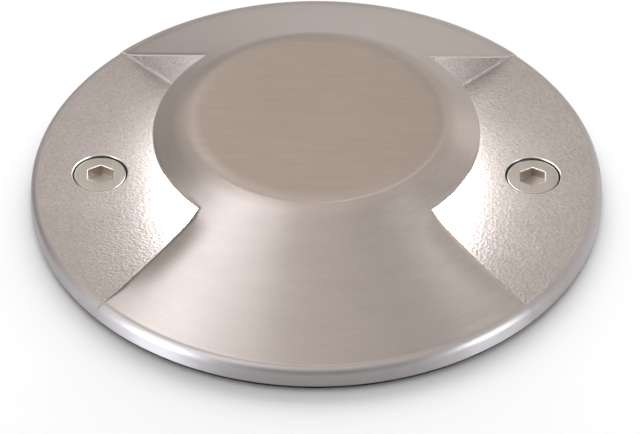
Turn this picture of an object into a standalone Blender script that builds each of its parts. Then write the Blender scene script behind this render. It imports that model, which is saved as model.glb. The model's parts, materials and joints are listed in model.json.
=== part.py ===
"""Recessed ground light with a drive-over cover that throws light two ways.

Metres, +Z up. The origin is the centre of the sleeve's flat base. The cover's rim lies on the paving at
PAVING_HEIGHT above it, and everything below that level stands in the ground. The light windows face -X and +X.
"""

import math

import bmesh
import bpy
from mathutils import Matrix, Vector
from mathutils.geometry import interpolate_bezier

# Fits shared by all pieces
GAP = 0.0003
OVERRUN = 0.0010

# Cover, a round casting measured up from the paving
RIM_RADIUS = 0.0550
RIM_HEIGHT = 0.0036
RIM_TAPER = 0.0003
RIM_EDGE = 0.0006
LAND_WIDTH = 0.0016
RIM_LAP_WIDTH = 0.0009
RIM_RECESS = 0.0005
CAP_HEIGHT = 0.0179
CAP_SLOPE_WIDTH = 0.0063
SHOULDER_ROUND = 0.0060
FOOT_ROUND = 0.0040
CROWN_WALL = 0.0034
CROWN_CHAMFER = 0.0038
FAN_WALL = 0.0034
PRESS_RING_WALL = 0.0052
SKIRT_WALL = 0.0024
SKIRT_MARGIN = 0.0002
COVER_RIB_WIDTH = 0.0024
COVER_RIB_DEPTH = 0.0046
COVER_RIBS = 8
CORE_INSET = 0.0006
CORE_ANGLE = 7.0
WEB_ANGLE = 2.5

# Pockets and light windows in the cover
POCKET_FLOOR = 0.0033
POCKET_HALF_ANGLE = 43.3
POCKET_DRAFT = 8.0
POCKET_FILLET = 0.0012
WINDOW_SETBACK = 0.0018
LIP_THICKNESS = 0.0024
LIP_TO_SCREW = 0.0105

# Cover screws, M6 with a 5 mm hexagon socket, and their washers
SCREW_INSET = 0.0134
HEAD_RADIUS = 0.0050
HEAD_HEIGHT = 0.0060
HEAD_EDGE = 0.0003
HEAD_INSET = 0.0003
HEAD_CLEARANCE = 0.0003
SOCKET_WIDTH = 0.0050
SOCKET_DEPTH = 0.0032
SHANK_RADIUS = 0.0030
SHANK_LENGTH = 0.0160
SHANK_POINT = 0.0008
SHANK_CLEARANCE = 0.0004
WASHER_THICKNESS = 0.0010
BOSS_WALL = 0.0017
BOSS_FLOOR = 0.0030

# Diffuser and its two gaskets
DRUM_CLEARANCE = 0.0007
DRUM_WALL = 0.0020
LENS_FLANGE_WIDTH = 0.0052
LENS_FLANGE_THICKNESS = 0.0020
UPPER_GASKET = 0.0010
LOWER_GASKET = 0.0015
SEAL_WIDTH = 0.0048

# Housing, a die-cast cup measured down from its flange
FLANGE_THICKNESS = 0.0060
LENS_LEDGE_THICKNESS = 0.0040
BARREL_WALL = 0.0035
BARREL_STEP = 0.0025
HOUSING_DEPTH = 0.0541
HOUSING_FLOOR = 0.0040
HOUSING_EDGE = 0.0020
FIN_REACH = 0.0080
FIN_WIDTH = 0.0020
FIN_LENGTH = 0.0300
FINS = 8
RING_GROOVE_DEPTH = 0.0016
RING_SECTION = 0.0009
RING_SQUEEZE = 0.0002

# Threaded inserts in the housing's bosses
INSERT_RADIUS = 0.0045
INSERT_LENGTH = 0.0120
INSERT_WALL = 0.0017

# LED carrier, board, LEDs and deflector
CARRIER_CLEARANCE = 0.0004
CARRIER_THICKNESS = 0.0040
CARRIER_SCREW_INSET = 0.0030
CARRIER_SCREWS = 4
PLINTH_RADIUS = 0.0225
PLINTH_HEIGHT = 0.0080
PLINTH_WALL = 0.0040
BOARD_MARGIN = 0.0005
BOARD_THICKNESS = 0.0016
LED_WIDTH = 0.0034
LED_HEIGHT = 0.0009
LED_DOME = 0.0007
LED_ROW_OFFSET = 0.0095
LED_PITCH = 0.0095
LEDS_IN_ROW = 3
BOARD_SCREW_OFFSET = 0.0160
DEFLECTOR_LENGTH = 0.0300
DEFLECTOR_FOOT = 0.0050
DEFLECTOR_REACH = 0.0165
DEFLECTOR_HEADROOM = 0.0024
DEFLECTOR_WALL = 0.0012
CONNECTOR_SIZE = (0.0070, 0.0036, 0.0026)
CONNECTOR_SPACE = 0.0014

# Small screws, M3 with pan heads
SMALL_SHANK = 0.0015
SMALL_HEAD = 0.0025
SMALL_HEAD_HEIGHT = 0.0018
SMALL_LENGTH = 0.0080
SMALL_SLOT_WIDTH = 0.0007
SMALL_SLOT_DEPTH = 0.0008
PILLAR_RADIUS = 0.0035
PILLAR_WEB = 0.0030

# Driver, its lugs and its bosses
DRIVER_RADIUS = 0.0205
DRIVER_HEIGHT = 0.0200
DRIVER_EDGE = 0.0015
DRIVER_RIM = 0.0014
DRIVER_RECESS = 0.0010
DRIVER_LIFT = 0.0140
LUG_CIRCLE = 0.0245
LUG_WIDTH = 0.0076
LUG_THICKNESS = 0.0026

# Terminal block, earth terminal and leads
TERMINAL_SIZE = (0.0240, 0.0096, 0.0090)
TERMINAL_PLACE = 0.0190
TERMINAL_POLES = 3
TERMINAL_WELL = 0.0016
TERMINAL_WELL_DEPTH = 0.0030
TERMINAL_EDGE = 0.0006
TERMINAL_ENTRY_SHARE = 0.66
EARTH_CIRCLE = 0.0218
EARTH_ANGLE = 205.0
EARTH_BOSS_HEIGHT = 0.0040
EARTH_TAG_THICKNESS = 0.0008
EARTH_TAG_RADIUS = 0.0030
EARTH_TAG_LENGTH = 0.0065
EARTH_TAG_WIDTH = 0.0032
LEAD_RADIUS = 0.0008
LEAD_SPACING = 0.0028

# Vent plug, M12
VENT_PLACE = 0.0226
VENT_RADIUS = 0.0060
VENT_STEM = 0.0070
VENT_HEX = 0.0160
VENT_HEAD = 0.0040
VENT_BORE = 0.0030
VENT_SEAL_WIDTH = 0.0014
SEAL_THICKNESS = 0.0012

# Cable gland, M16
GLAND_RADIUS = 0.0080
GLAND_HEX = 0.0200
GLAND_HEX_HEIGHT = 0.0050
GLAND_STEM = 0.0080
GLAND_BORE = 0.0052
LOCKNUT_HEX = 0.0220
LOCKNUT_HEIGHT = 0.0046
GLAND_NUT_HEIGHT = 0.0140
GLAND_NUT_END = 0.0022
GLAND_NUT_HEX_HEIGHT = 0.0090
CABLE_RADIUS = 0.0036
GLAND_SEAL_LENGTH = 0.0100

# Sleeve, a moulded pot measured up from its base, with room for cable under the gland's nut
CABLE_SPACE = 0.0144
SLEEVE_FIT = 0.0006
SLEEVE_WALL = 0.0020
SLEEVE_FLANGE_THICKNESS = 0.0025
SLEEVE_BASE = 0.0025
SLEEVE_LEDGE = 0.0036
SLEEVE_DRAFT = 0.0008
SLEEVE_KEY_FIT = 0.0005
SLEEVE_FOOT = 0.0050
ANCHOR_RING_REACH = 0.0052
ANCHOR_RING_THICKNESS = 0.0020
ANCHOR_RING_SHARES = (0.46, 0.70)
ANCHOR_RIB_WIDTH = 0.0020
ANCHOR_RIB_SHARE = 0.70
ANCHOR_RIBS = 8
DRAIN_RADIUS = 0.0040
DRAIN_INSET = 0.0158
DRAINS = 4
PORT_HEIGHT = 0.0190
PORT_BORE = 0.0095
PORT_WALL = 0.0022
BUSH_LENGTH = 0.0080
BUSH_WALL = 0.0018
BUSH_FLANGE = 0.0014
BUSH_FLANGE_WIDTH = 0.0018

# Numbers of flats on round pieces
COVER_SEGMENTS = 64
POCKET_STEPS = 10
LARGE_SEGMENTS = 32
MEDIUM_SEGMENTS = 16
SMALL_SEGMENTS = 8
FILLET_STEPS = 3
SMOOTH_ANGLE = 28.0

# Radii that follow from the sizes above
SCREW_CIRCLE = RIM_RADIUS - SCREW_INSET
CAP_LIP_RADIUS = SCREW_CIRCLE - LIP_TO_SCREW
CAP_TOP_RADIUS = CAP_LIP_RADIUS - CAP_SLOPE_WIDTH
FAN_FOOT_RADIUS = RIM_RADIUS - RIM_TAPER - LAND_WIDTH
FAN_SLOPE = (CAP_HEIGHT - RIM_HEIGHT) / (FAN_FOOT_RADIUS - CAP_TOP_RADIUS)
WINDOW_RADIUS = CAP_LIP_RADIUS - WINDOW_SETBACK
PRESS_RING_RADIUS = WINDOW_RADIUS + PRESS_RING_WALL
COUNTERBORE_RADIUS = HEAD_RADIUS + HEAD_CLEARANCE
COVER_BOSS_RADIUS = COUNTERBORE_RADIUS + BOSS_WALL
SKIRT_RADIUS = SCREW_CIRCLE + COVER_BOSS_RADIUS + SKIRT_MARGIN
DRUM_RADIUS = WINDOW_RADIUS - DRUM_CLEARANCE
LENS_FLANGE_RADIUS = DRUM_RADIUS + LENS_FLANGE_WIDTH
LENS_RECESS_RADIUS = LENS_FLANGE_RADIUS + GAP
MOUTH_RADIUS = LENS_FLANGE_RADIUS - SEAL_WIDTH
CARRIER_RADIUS = MOUTH_RADIUS - CARRIER_CLEARANCE
CARRIER_SCREW_CIRCLE = CARRIER_RADIUS - CARRIER_SCREW_INSET
BARREL_INNER_RADIUS = MOUTH_RADIUS + BARREL_STEP
BARREL_RADIUS = BARREL_INNER_RADIUS + BARREL_WALL
FIN_RADIUS = BARREL_RADIUS + FIN_REACH
INSERT_BOSS_RADIUS = INSERT_RADIUS + GAP + INSERT_WALL
BOARD_RADIUS = PLINTH_RADIUS - BOARD_MARGIN
CONNECTOR_PLACE = DEFLECTOR_LENGTH / 2 + CONNECTOR_SPACE + CONNECTOR_SIZE[1] / 2
SMALL_HOLE = SMALL_SHANK + GAP
SLEEVE_BORE = SKIRT_RADIUS + SLEEVE_FIT
SLEEVE_LOWER_BORE = SLEEVE_BORE - SLEEVE_LEDGE
DRAIN_CIRCLE = SLEEVE_LOWER_BORE - DRAIN_INSET
RIM_LAP_RADIUS = RIM_RADIUS - RIM_LAP_WIDTH
SLEEVE_FLANGE_RADIUS = RIM_LAP_RADIUS - GAP
KEY_RADIUS = INSERT_BOSS_RADIUS + SLEEVE_KEY_FIT
SPOUT_REACH = SLEEVE_FLANGE_RADIUS - BUSH_FLANGE

# Height of the paving above the sleeve's base, from the pieces stacked under it
HEAD_DEPTH = HEAD_INSET + HEAD_HEIGHT - POCKET_FLOOR
COVER_DEPTH = HEAD_DEPTH + GAP + WASHER_THICKNESS + GAP + BOSS_FLOOR
GLAND_DEPTH = GAP + SEAL_THICKNESS + GAP + GLAND_HEX_HEIGHT + GAP + GLAND_NUT_HEIGHT
PAVING_HEIGHT = SLEEVE_BASE + CABLE_SPACE + GLAND_DEPTH + HOUSING_DEPTH + GAP + COVER_DEPTH

# Heights of the seats above the sleeve's base, from the paving down
HEAD_TOP_Z = PAVING_HEIGHT + POCKET_FLOOR - HEAD_INSET
HEAD_SEAT_Z = HEAD_TOP_Z - HEAD_HEIGHT
WASHER_Z = HEAD_SEAT_Z - GAP - WASHER_THICKNESS
COUNTERBORE_Z = WASHER_Z - GAP
COVER_SEAT_Z = COUNTERBORE_Z - BOSS_FLOOR
HOUSING_Z = COVER_SEAT_Z - GAP
LENS_Z = HOUSING_Z - LENS_FLANGE_THICKNESS
UPPER_GASKET_Z = HOUSING_Z + GAP
PRESS_FACE_Z = UPPER_GASKET_Z + UPPER_GASKET + GAP
LOWER_GASKET_Z = LENS_Z - GAP - LOWER_GASKET
LENS_LEDGE_Z = LOWER_GASKET_Z - GAP
CARRIER_Z = LENS_LEDGE_Z - CARRIER_THICKNESS
BOARD_Z = LENS_LEDGE_Z + PLINTH_HEIGHT + GAP
BOARD_TOP_Z = BOARD_Z + BOARD_THICKNESS
DRUM_TOP_Z = PAVING_HEIGHT + CAP_HEIGHT - CROWN_WALL - DRUM_CLEARANCE
DEFLECTOR_HEIGHT = DRUM_TOP_Z - DRUM_WALL - DEFLECTOR_HEADROOM - BOARD_TOP_Z - GAP
HOUSING_BOTTOM_Z = HOUSING_Z - HOUSING_DEPTH
HOUSING_FLOOR_Z = HOUSING_BOTTOM_Z + HOUSING_FLOOR
DRIVER_Z = HOUSING_FLOOR_Z + DRIVER_LIFT
SLEEVE_TOP_Z = PAVING_HEIGHT + RIM_RECESS - GAP
SLEEVE_LEDGE_Z = HOUSING_Z - FLANGE_THICKNESS - GAP

METAL = 1.0
NOT_METAL = 0.0
SEAM_SHARE = 0.01


def fan_height(radius):
    """Height above the paving of the cover's conical slope at this radius."""
    return RIM_HEIGHT + (FAN_FOOT_RADIUS - radius) * FAN_SLOPE


# Profiles and outlines


def rounded(corners, steps=FILLET_STEPS):
    """Points of an outline of (x, y, fillet radius) corners, each fillet limited by the sides that meet there."""
    points = []
    for index, (x, y, radius) in enumerate(corners):
        here = Vector((x, y))
        if not radius:
            points.append(here)
            continue
        before = Vector(corners[index - 1][:2]) - here
        after = Vector(corners[(index + 1) % len(corners)][:2]) - here
        half_angle = before.angle(after) / 2
        room = min(before.length, after.length) / 2
        reach = min(radius / math.tan(half_angle), room)
        fillet = reach * math.tan(half_angle)
        middle = here + (before.normalized() + after.normalized()).normalized() * math.hypot(reach, fillet)
        start = here + before.normalized() * reach - middle
        end = here + after.normalized() * reach - middle
        sweep = start.angle_signed(end)
        for step in range(steps + 1):
            turn = Matrix.Rotation(-sweep * step / steps, 2)
            points.append(middle + turn @ start)
    return points


def plain(*points):
    """Corners without a fillet."""
    return [(x, y, 0) for x, y in points]


# Solids made from profiles and outlines


def new_object(name, mesh, place=(0, 0, 0)):
    made = bpy.data.objects.new(name, mesh)
    made.location = place
    bpy.context.scene.collection.objects.link(made)
    return made


def closed_mesh(name, shape):
    """A mesh from the bmesh, with merged seams and its faces pointing out."""
    bmesh.ops.remove_doubles(shape, verts=shape.verts, dist=GAP * SEAM_SHARE)
    bmesh.ops.dissolve_degenerate(shape, edges=shape.edges, dist=GAP * SEAM_SHARE)
    bmesh.ops.recalc_face_normals(shape, faces=shape.faces)
    mesh = bpy.data.meshes.new(name)
    shape.to_mesh(mesh)
    shape.free()
    return mesh


def turned(name, corners, segments=LARGE_SEGMENTS, place=(0, 0, 0)):
    """A solid of revolution about Z from a closed profile of (radius, height, fillet) corners."""
    shape = bmesh.new()
    verts = [shape.verts.new((point.x, 0, point.y)) for point in rounded(corners)]
    pairs = [(verts[index - 1], vert) for index, vert in enumerate(verts)]
    edges = [shape.edges.new(pair) for pair in pairs if pair[0].co.x or pair[1].co.x]
    axis = {"cent": (0, 0, 0), "axis": (0, 0, 1), "angle": math.tau}
    bmesh.ops.spin(shape, geom=verts + edges, steps=segments, **axis)
    return new_object(name, closed_mesh(name, shape), place)


def ring(name, inner, outer, height, segments=LARGE_SEGMENTS, place=(0, 0, 0)):
    """A flat ring standing on its place."""
    corners = plain((inner, 0), (outer, 0), (outer, height), (inner, height))
    return turned(name, corners, segments, place)


def lofted(name, sections, place=(0, 0, 0)):
    """A solid through closed sections with the same number of points, capped at both ends."""
    shape = bmesh.new()
    rows = [[shape.verts.new(point) for point in section] for section in sections]
    for low, high in zip(rows, rows[1:]):
        for index in range(len(low)):
            shape.faces.new((low[index - 1], low[index], high[index], high[index - 1]))
    shape.faces.new(rows[0])
    shape.faces.new(rows[-1])
    return new_object(name, closed_mesh(name, shape), place)


def prism(name, outline, low, high, place=(0, 0, 0)):
    """An upright prism over an outline of (x, y) points."""
    return lofted(name, [[(x, y, height) for x, y in outline] for height in (low, high)], place)


def circle_points(radius, segments, start=0):
    angles = [start + math.tau * index / segments for index in range(segments)]
    return [(radius * math.cos(angle), radius * math.sin(angle)) for angle in angles]


def cylinder(radius, low, high, segments=MEDIUM_SEGMENTS, place=(0, 0, 0)):
    return prism("cylinder", circle_points(radius, segments, math.pi / segments), low, high, place)


def hexagon(across_flats, low, high, place=(0, 0, 0)):
    """A hexagonal prism with two of its flats facing -X and +X."""
    corner_radius = across_flats / 2 / math.cos(math.pi / 6)
    return prism("hexagon", circle_points(corner_radius, 6, math.pi / 6), low, high, place)


def box(low, high, angle=0):
    """A box between two corners, turned about Z."""
    outline = [(low[0], low[1]), (high[0], low[1]), (high[0], high[1]), (low[0], high[1])]
    made = prism("box", outline, low[2], high[2])
    made.rotation_euler.z = math.radians(angle)
    return made


def on_circle(radius, angle, height=0):
    turn = math.radians(angle)
    return Vector((radius * math.cos(turn), radius * math.sin(turn), height))


# Booleans


def combine(target, tools, operation):
    """Applies one Boolean after another to the target and removes the tools."""
    for tool in tools:
        modifier = target.modifiers.new(tool.name, "BOOLEAN")
        modifier.operation = operation
        modifier.object = tool
    bpy.context.view_layer.update()
    graph = bpy.context.evaluated_depsgraph_get()
    shape = bmesh.new()
    shape.from_object(target, graph)
    target.modifiers.clear()
    target.data = closed_mesh(target.name, shape)
    for tool in tools:
        bpy.data.objects.remove(tool)
    return target


def cut(target, *tools):
    return combine(target, tools, "DIFFERENCE")


def fuse(target, *tools):
    return combine(target, tools, "UNION")


def repeat(made, places):
    """Puts the piece at the first place, and copies that share its mesh at the others."""
    name = made.name
    for number, place in enumerate(places, 1):
        copy = made if number == 1 else new_object(name, made.data)
        copy.name = f"{name}_{number}"
        copy.location = place


def finish(made, colour, roughness, metallic=NOT_METAL, alpha=1.0):
    """The piece's own material, and smooth shading between its sharp edges."""
    material = bpy.data.materials.new(made.name)
    material.use_nodes = True
    shader = material.node_tree.nodes["Principled BSDF"]
    shader.inputs["Base Color"].default_value = (*colour, 1.0)
    shader.inputs["Roughness"].default_value = roughness
    shader.inputs["Metallic"].default_value = metallic
    shader.inputs["Alpha"].default_value = alpha
    made.data.materials.clear()
    made.data.materials.append(material)
    if made.type == "MESH":
        made.data.shade_smooth()
        made.data.set_sharp_from_angle(angle=math.radians(SMOOTH_ANGLE))
    return made


# Cover


def pocket_section(inner_radius, height, side_shift):
    """The pocket's outline at one height, with its two side walls moved out by side_shift."""
    points = []
    for radius, direction in ((inner_radius, 1), (RIM_RADIUS + OVERRUN, -1)):
        end = math.radians(POCKET_HALF_ANGLE) + math.asin(side_shift / radius)
        for step in range(POCKET_STEPS + 1):
            angle = direction * end * (2 * step / POCKET_STEPS - 1)
            points.append((radius * math.cos(angle), radius * math.sin(angle), height))
    return points


def pocket_cutter(turn):
    """Sector pocket with drafted walls, a filleted floor and an undercut window below the cap's lip."""
    lip_underside = fan_height(CAP_LIP_RADIUS) - LIP_THICKNESS
    wall_foot = POCKET_FLOOR + POCKET_FILLET
    lean = math.tan(math.radians(POCKET_DRAFT))
    bore = WINDOW_RADIUS - OVERRUN
    sections = []
    for step in range(FILLET_STEPS + 1):
        angle = math.pi / 2 * step / FILLET_STEPS
        height = wall_foot - POCKET_FILLET * math.cos(angle)
        sections.append(pocket_section(bore, height, POCKET_FILLET * (math.sin(angle) - 1)))
    lip_shift = lean * (lip_underside - wall_foot)
    sections.append(pocket_section(bore, lip_underside, lip_shift))
    sections.append(pocket_section(CAP_LIP_RADIUS, lip_underside, lip_shift))
    top = CAP_HEIGHT + OVERRUN
    sections.append(pocket_section(CAP_LIP_RADIUS, top, lean * (top - wall_foot)))
    cutter = lofted("pocket", sections, (0, 0, PAVING_HEIGHT))
    cutter.rotation_euler.z = turn
    return cutter


def core_cutter(start, end):
    """Hollow under part of a fan, whose roof runs parallel to the slope."""
    inner = PRESS_RING_RADIUS + CORE_INSET
    outer = SKIRT_RADIUS - SKIRT_WALL - CORE_INSET
    drop = FAN_WALL * math.hypot(1, FAN_SLOPE)
    profile = [(inner, -OVERRUN), (outer, -OVERRUN)]
    profile += [(outer, fan_height(outer) - drop), (inner, fan_height(inner) - drop)]
    sections = []
    for step in range(FILLET_STEPS + 1):
        angle = start + (end - start) * step / FILLET_STEPS
        sections.append([(*on_circle(radius, angle)[:2], height) for radius, height in profile])
    return lofted("core", sections, (0, 0, PAVING_HEIGHT))


def cover_blank():
    seat = COVER_SEAT_Z - PAVING_HEIGHT
    press_face = PRESS_FACE_Z - PAVING_HEIGHT
    skirt_inner = SKIRT_RADIUS - SKIRT_WALL
    lip_underside = fan_height(CAP_LIP_RADIUS) - LIP_THICKNESS
    ceiling = CAP_HEIGHT - CROWN_WALL
    outside = [
        (0, CAP_HEIGHT, 0),
        (CAP_TOP_RADIUS, CAP_HEIGHT, SHOULDER_ROUND),
        (FAN_FOOT_RADIUS, RIM_HEIGHT, FOOT_ROUND),
        (RIM_RADIUS - RIM_TAPER, RIM_HEIGHT, RIM_EDGE),
        (RIM_RADIUS, 0, 0),
    ]
    underside = plain(
        (RIM_LAP_RADIUS, 0),
        (RIM_LAP_RADIUS, RIM_RECESS),
        (SKIRT_RADIUS, RIM_RECESS),
        (SKIRT_RADIUS, seat),
        (skirt_inner, seat),
        (skirt_inner, 0),
        (PRESS_RING_RADIUS, 0),
        (PRESS_RING_RADIUS, press_face),
        (WINDOW_RADIUS, press_face),
        (WINDOW_RADIUS, lip_underside),
        (WINDOW_RADIUS - CROWN_CHAMFER, ceiling),
        (0, ceiling),
    )
    return turned("cover", outside + underside, COVER_SEGMENTS, (0, 0, PAVING_HEIGHT))


def cover_ribs():
    """Radial ribs between the press ring and the skirt."""
    low = PAVING_HEIGHT - COVER_RIB_DEPTH
    high = PAVING_HEIGHT + POCKET_FLOOR / 2
    inner = PRESS_RING_RADIUS - PRESS_RING_WALL / 2
    outer = SKIRT_RADIUS - SKIRT_WALL / 2
    half = COVER_RIB_WIDTH / 2
    angles = [360 * index / COVER_RIBS for index in range(COVER_RIBS)]
    return [box((inner, -half, low), (outer, half, high), angle) for angle in angles]


def make_cover():
    cover = cover_blank()
    cores = []
    for fan in (90, 270):
        half_span = 90 - POCKET_HALF_ANGLE - CORE_ANGLE
        cores.append(core_cutter(fan - half_span, fan - WEB_ANGLE))
        cores.append(core_cutter(fan + WEB_ANGLE, fan + half_span))
    cut(cover, *cores)
    bosses = []
    holes = []
    floor_middle = PAVING_HEIGHT + POCKET_FLOOR / 2
    top = PAVING_HEIGHT + CAP_HEIGHT
    for side in (-1, 1):
        axis = (side * SCREW_CIRCLE, 0, 0)
        bosses.append(cylinder(COVER_BOSS_RADIUS, COVER_SEAT_Z, floor_middle, place=axis))
        holes.append(cylinder(COUNTERBORE_RADIUS, COUNTERBORE_Z, top, LARGE_SEGMENTS, axis))
        shank_hole = SHANK_RADIUS + SHANK_CLEARANCE
        holes.append(cylinder(shank_hole, COVER_SEAT_Z - OVERRUN, top, place=axis))
    fuse(cover, *cover_ribs(), *bosses)
    cut(cover, pocket_cutter(0), pocket_cutter(math.pi), *holes)
    finish(cover, (0.62, 0.58, 0.55), 0.34, METAL)


def make_cover_screw(side, name):
    """Socket head screw with its origin on its axis, level with the top of its head."""
    outside = [
        (0, 0, 0),
        (HEAD_RADIUS, 0, HEAD_EDGE),
        (HEAD_RADIUS, -HEAD_HEIGHT, 0),
        (SHANK_RADIUS, -HEAD_HEIGHT, 0),
        (SHANK_RADIUS, SHANK_POINT - HEAD_HEIGHT - SHANK_LENGTH, 0),
        (SHANK_RADIUS - SHANK_POINT, -HEAD_HEIGHT - SHANK_LENGTH, 0),
        (0, -HEAD_HEIGHT - SHANK_LENGTH, 0),
    ]
    place = (side * SCREW_CIRCLE, 0, HEAD_TOP_Z)
    screw = turned("cover_screw_" + name, outside, MEDIUM_SEGMENTS, place)
    cut(screw, hexagon(SOCKET_WIDTH, -SOCKET_DEPTH, OVERRUN, place))
    finish(screw, (0.60, 0.56, 0.51), 0.30, METAL)


def make_screw_washer(side, name):
    inner = SHANK_RADIUS + GAP
    place = (side * SCREW_CIRCLE, 0, WASHER_Z)
    washer = ring("screw_washer_" + name, inner, HEAD_RADIUS, WASHER_THICKNESS, MEDIUM_SEGMENTS, place)
    finish(washer, (0.05, 0.05, 0.05), 0.75)


# Diffuser and gaskets


def make_diffuser():
    """Opal drum under the cap, with a flange that the cover presses down."""
    lip_underside = PAVING_HEIGHT + fan_height(CAP_LIP_RADIUS) - LIP_THICKNESS - LENS_Z
    shoulder = lip_underside - DRUM_CLEARANCE
    top = DRUM_TOP_Z - LENS_Z
    inner = DRUM_RADIUS - DRUM_WALL
    inner_shoulder = shoulder - DRUM_WALL / 2
    corners = plain(
        (0, top),
        (DRUM_RADIUS - CROWN_CHAMFER, top),
        (DRUM_RADIUS, shoulder),
        (DRUM_RADIUS, LENS_FLANGE_THICKNESS),
        (LENS_FLANGE_RADIUS, LENS_FLANGE_THICKNESS),
        (LENS_FLANGE_RADIUS, 0),
        (inner, 0),
        (inner, inner_shoulder),
        (inner - CROWN_CHAMFER + DRUM_WALL / 2, top - DRUM_WALL),
        (0, top - DRUM_WALL),
    )
    finish(turned("diffuser", corners, place=(0, 0, LENS_Z)), (0.93, 0.93, 0.90), 0.35)


def make_lens_gaskets():
    outer = LENS_FLANGE_RADIUS
    upper = ring("lens_gasket_upper", WINDOW_RADIUS, outer, UPPER_GASKET, place=(0, 0, UPPER_GASKET_Z))
    lower = ring("lens_gasket_lower", MOUTH_RADIUS, outer, LOWER_GASKET, place=(0, 0, LOWER_GASKET_Z))
    for gasket in (upper, lower):
        finish(gasket, (0.75, 0.75, 0.73), 0.70)


# LED unit


def deflector_profile():
    """Half outline, in X and Z, of a trough whose concave flanks face the two windows."""
    points = []
    reach = DEFLECTOR_REACH - DEFLECTOR_FOOT
    steps = 2 * FILLET_STEPS
    for step in range(steps + 1):
        angle = math.pi / 2 * step / steps
        x = DEFLECTOR_REACH - reach * math.cos(angle)
        points.append((x, DEFLECTOR_HEIGHT * math.sin(angle) - DEFLECTOR_WALL * math.sin(angle)))
    points.append((DEFLECTOR_REACH, DEFLECTOR_HEIGHT))
    for step in range(steps, 0, -1):
        angle = math.pi / 2 * step / steps
        x = DEFLECTOR_REACH - reach * math.cos(angle) - DEFLECTOR_WALL * math.cos(angle)
        points.append((x, DEFLECTOR_HEIGHT * math.sin(angle) + DEFLECTOR_WALL * math.cos(angle)))
    return points


def make_deflector():
    right = deflector_profile()
    left = [(-x, z) for x, z in reversed(right)]
    sections = []
    for y in (-DEFLECTOR_LENGTH / 2, DEFLECTOR_LENGTH / 2):
        sections.append([(x, y, z) for x, z in right + left])
    deflector = lofted("deflector", sections, (0, 0, BOARD_TOP_Z + GAP))
    finish(deflector, (0.90, 0.90, 0.90), 0.25)


def make_leds():
    """Square LED packages with raised lenses, in a row at each side of the deflector."""
    half = LED_WIDTH / 2
    low = half * math.sqrt(2)
    levels = [(0, low), (LED_HEIGHT, low), (LED_HEIGHT, half), (LED_HEIGHT + LED_DOME, half / 2)]
    sections = [[(x, y, z) for x, y in circle_points(size, 4, math.pi / 4)] for z, size in levels]
    places = []
    for side in (-1, 1):
        for index in range(LEDS_IN_ROW):
            y = (index - (LEDS_IN_ROW - 1) / 2) * LED_PITCH
            places.append((side * LED_ROW_OFFSET, y, BOARD_TOP_Z + GAP))
    repeat(finish(lofted("led", sections), (0.95, 0.85, 0.45), 0.30), places)


def lead_hole_place():
    return (0, CONNECTOR_PLACE - CONNECTOR_SIZE[1] / 2 - LEAD_SPACING / 2, 0)


def make_led_board():
    board = cylinder(BOARD_RADIUS, BOARD_Z, BOARD_TOP_Z, LARGE_SEGMENTS)
    board.data.name = board.name = "led_board"
    holes = [cylinder(SMALL_HOLE, BOARD_Z - OVERRUN, BOARD_TOP_Z + OVERRUN, SMALL_SEGMENTS, (x, 0, 0))
             for x in (-BOARD_SCREW_OFFSET, BOARD_SCREW_OFFSET)]
    cut(board, *holes)
    finish(board, (0.88, 0.88, 0.86), 0.45)


def make_led_connector():
    width, depth, height = CONNECTOR_SIZE
    low = BOARD_TOP_Z + GAP
    front = CONNECTOR_PLACE - depth / 2
    connector = box((-width / 2, front, low), (width / 2, front + depth, low + height))
    slots = []
    for side in (-1, 1):
        x = side * width / 4
        half = width / 8
        slots.append(box((x - half, front - OVERRUN, low + height / 4), (x + half, front + depth / 2,
                                                                          low + height * 3 / 4)))
    cut(connector, *slots)
    connector.name = "led_connector"
    finish(connector, (0.86, 0.85, 0.80), 0.45)


def small_screw(name, length=SMALL_LENGTH):
    """Slotted pan head screw with its head standing on its origin."""
    corners = [
        (0, SMALL_HEAD_HEIGHT, 0),
        (SMALL_HEAD - SMALL_SLOT_DEPTH, SMALL_HEAD_HEIGHT, 0),
        (SMALL_HEAD, SMALL_SLOT_DEPTH, 0),
        (SMALL_HEAD, 0, 0),
        (SMALL_SHANK, 0, 0),
        (SMALL_SHANK, -length, 0),
        (0, -length, 0),
    ]
    half = SMALL_SLOT_WIDTH / 2
    reach = SMALL_HEAD + OVERRUN
    slot = box((-reach, -half, SMALL_HEAD_HEIGHT - SMALL_SLOT_DEPTH), (reach, half, SMALL_HEAD_HEIGHT + OVERRUN))
    screw = cut(turned(name, corners, SMALL_SEGMENTS), slot)
    return finish(screw, (0.62, 0.62, 0.62), 0.35, METAL)


def carrier_screw_places(height):
    angles = [360 * (index + 0.5) / CARRIER_SCREWS for index in range(CARRIER_SCREWS)]
    return [on_circle(CARRIER_SCREW_CIRCLE, angle, height) for angle in angles]


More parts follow.
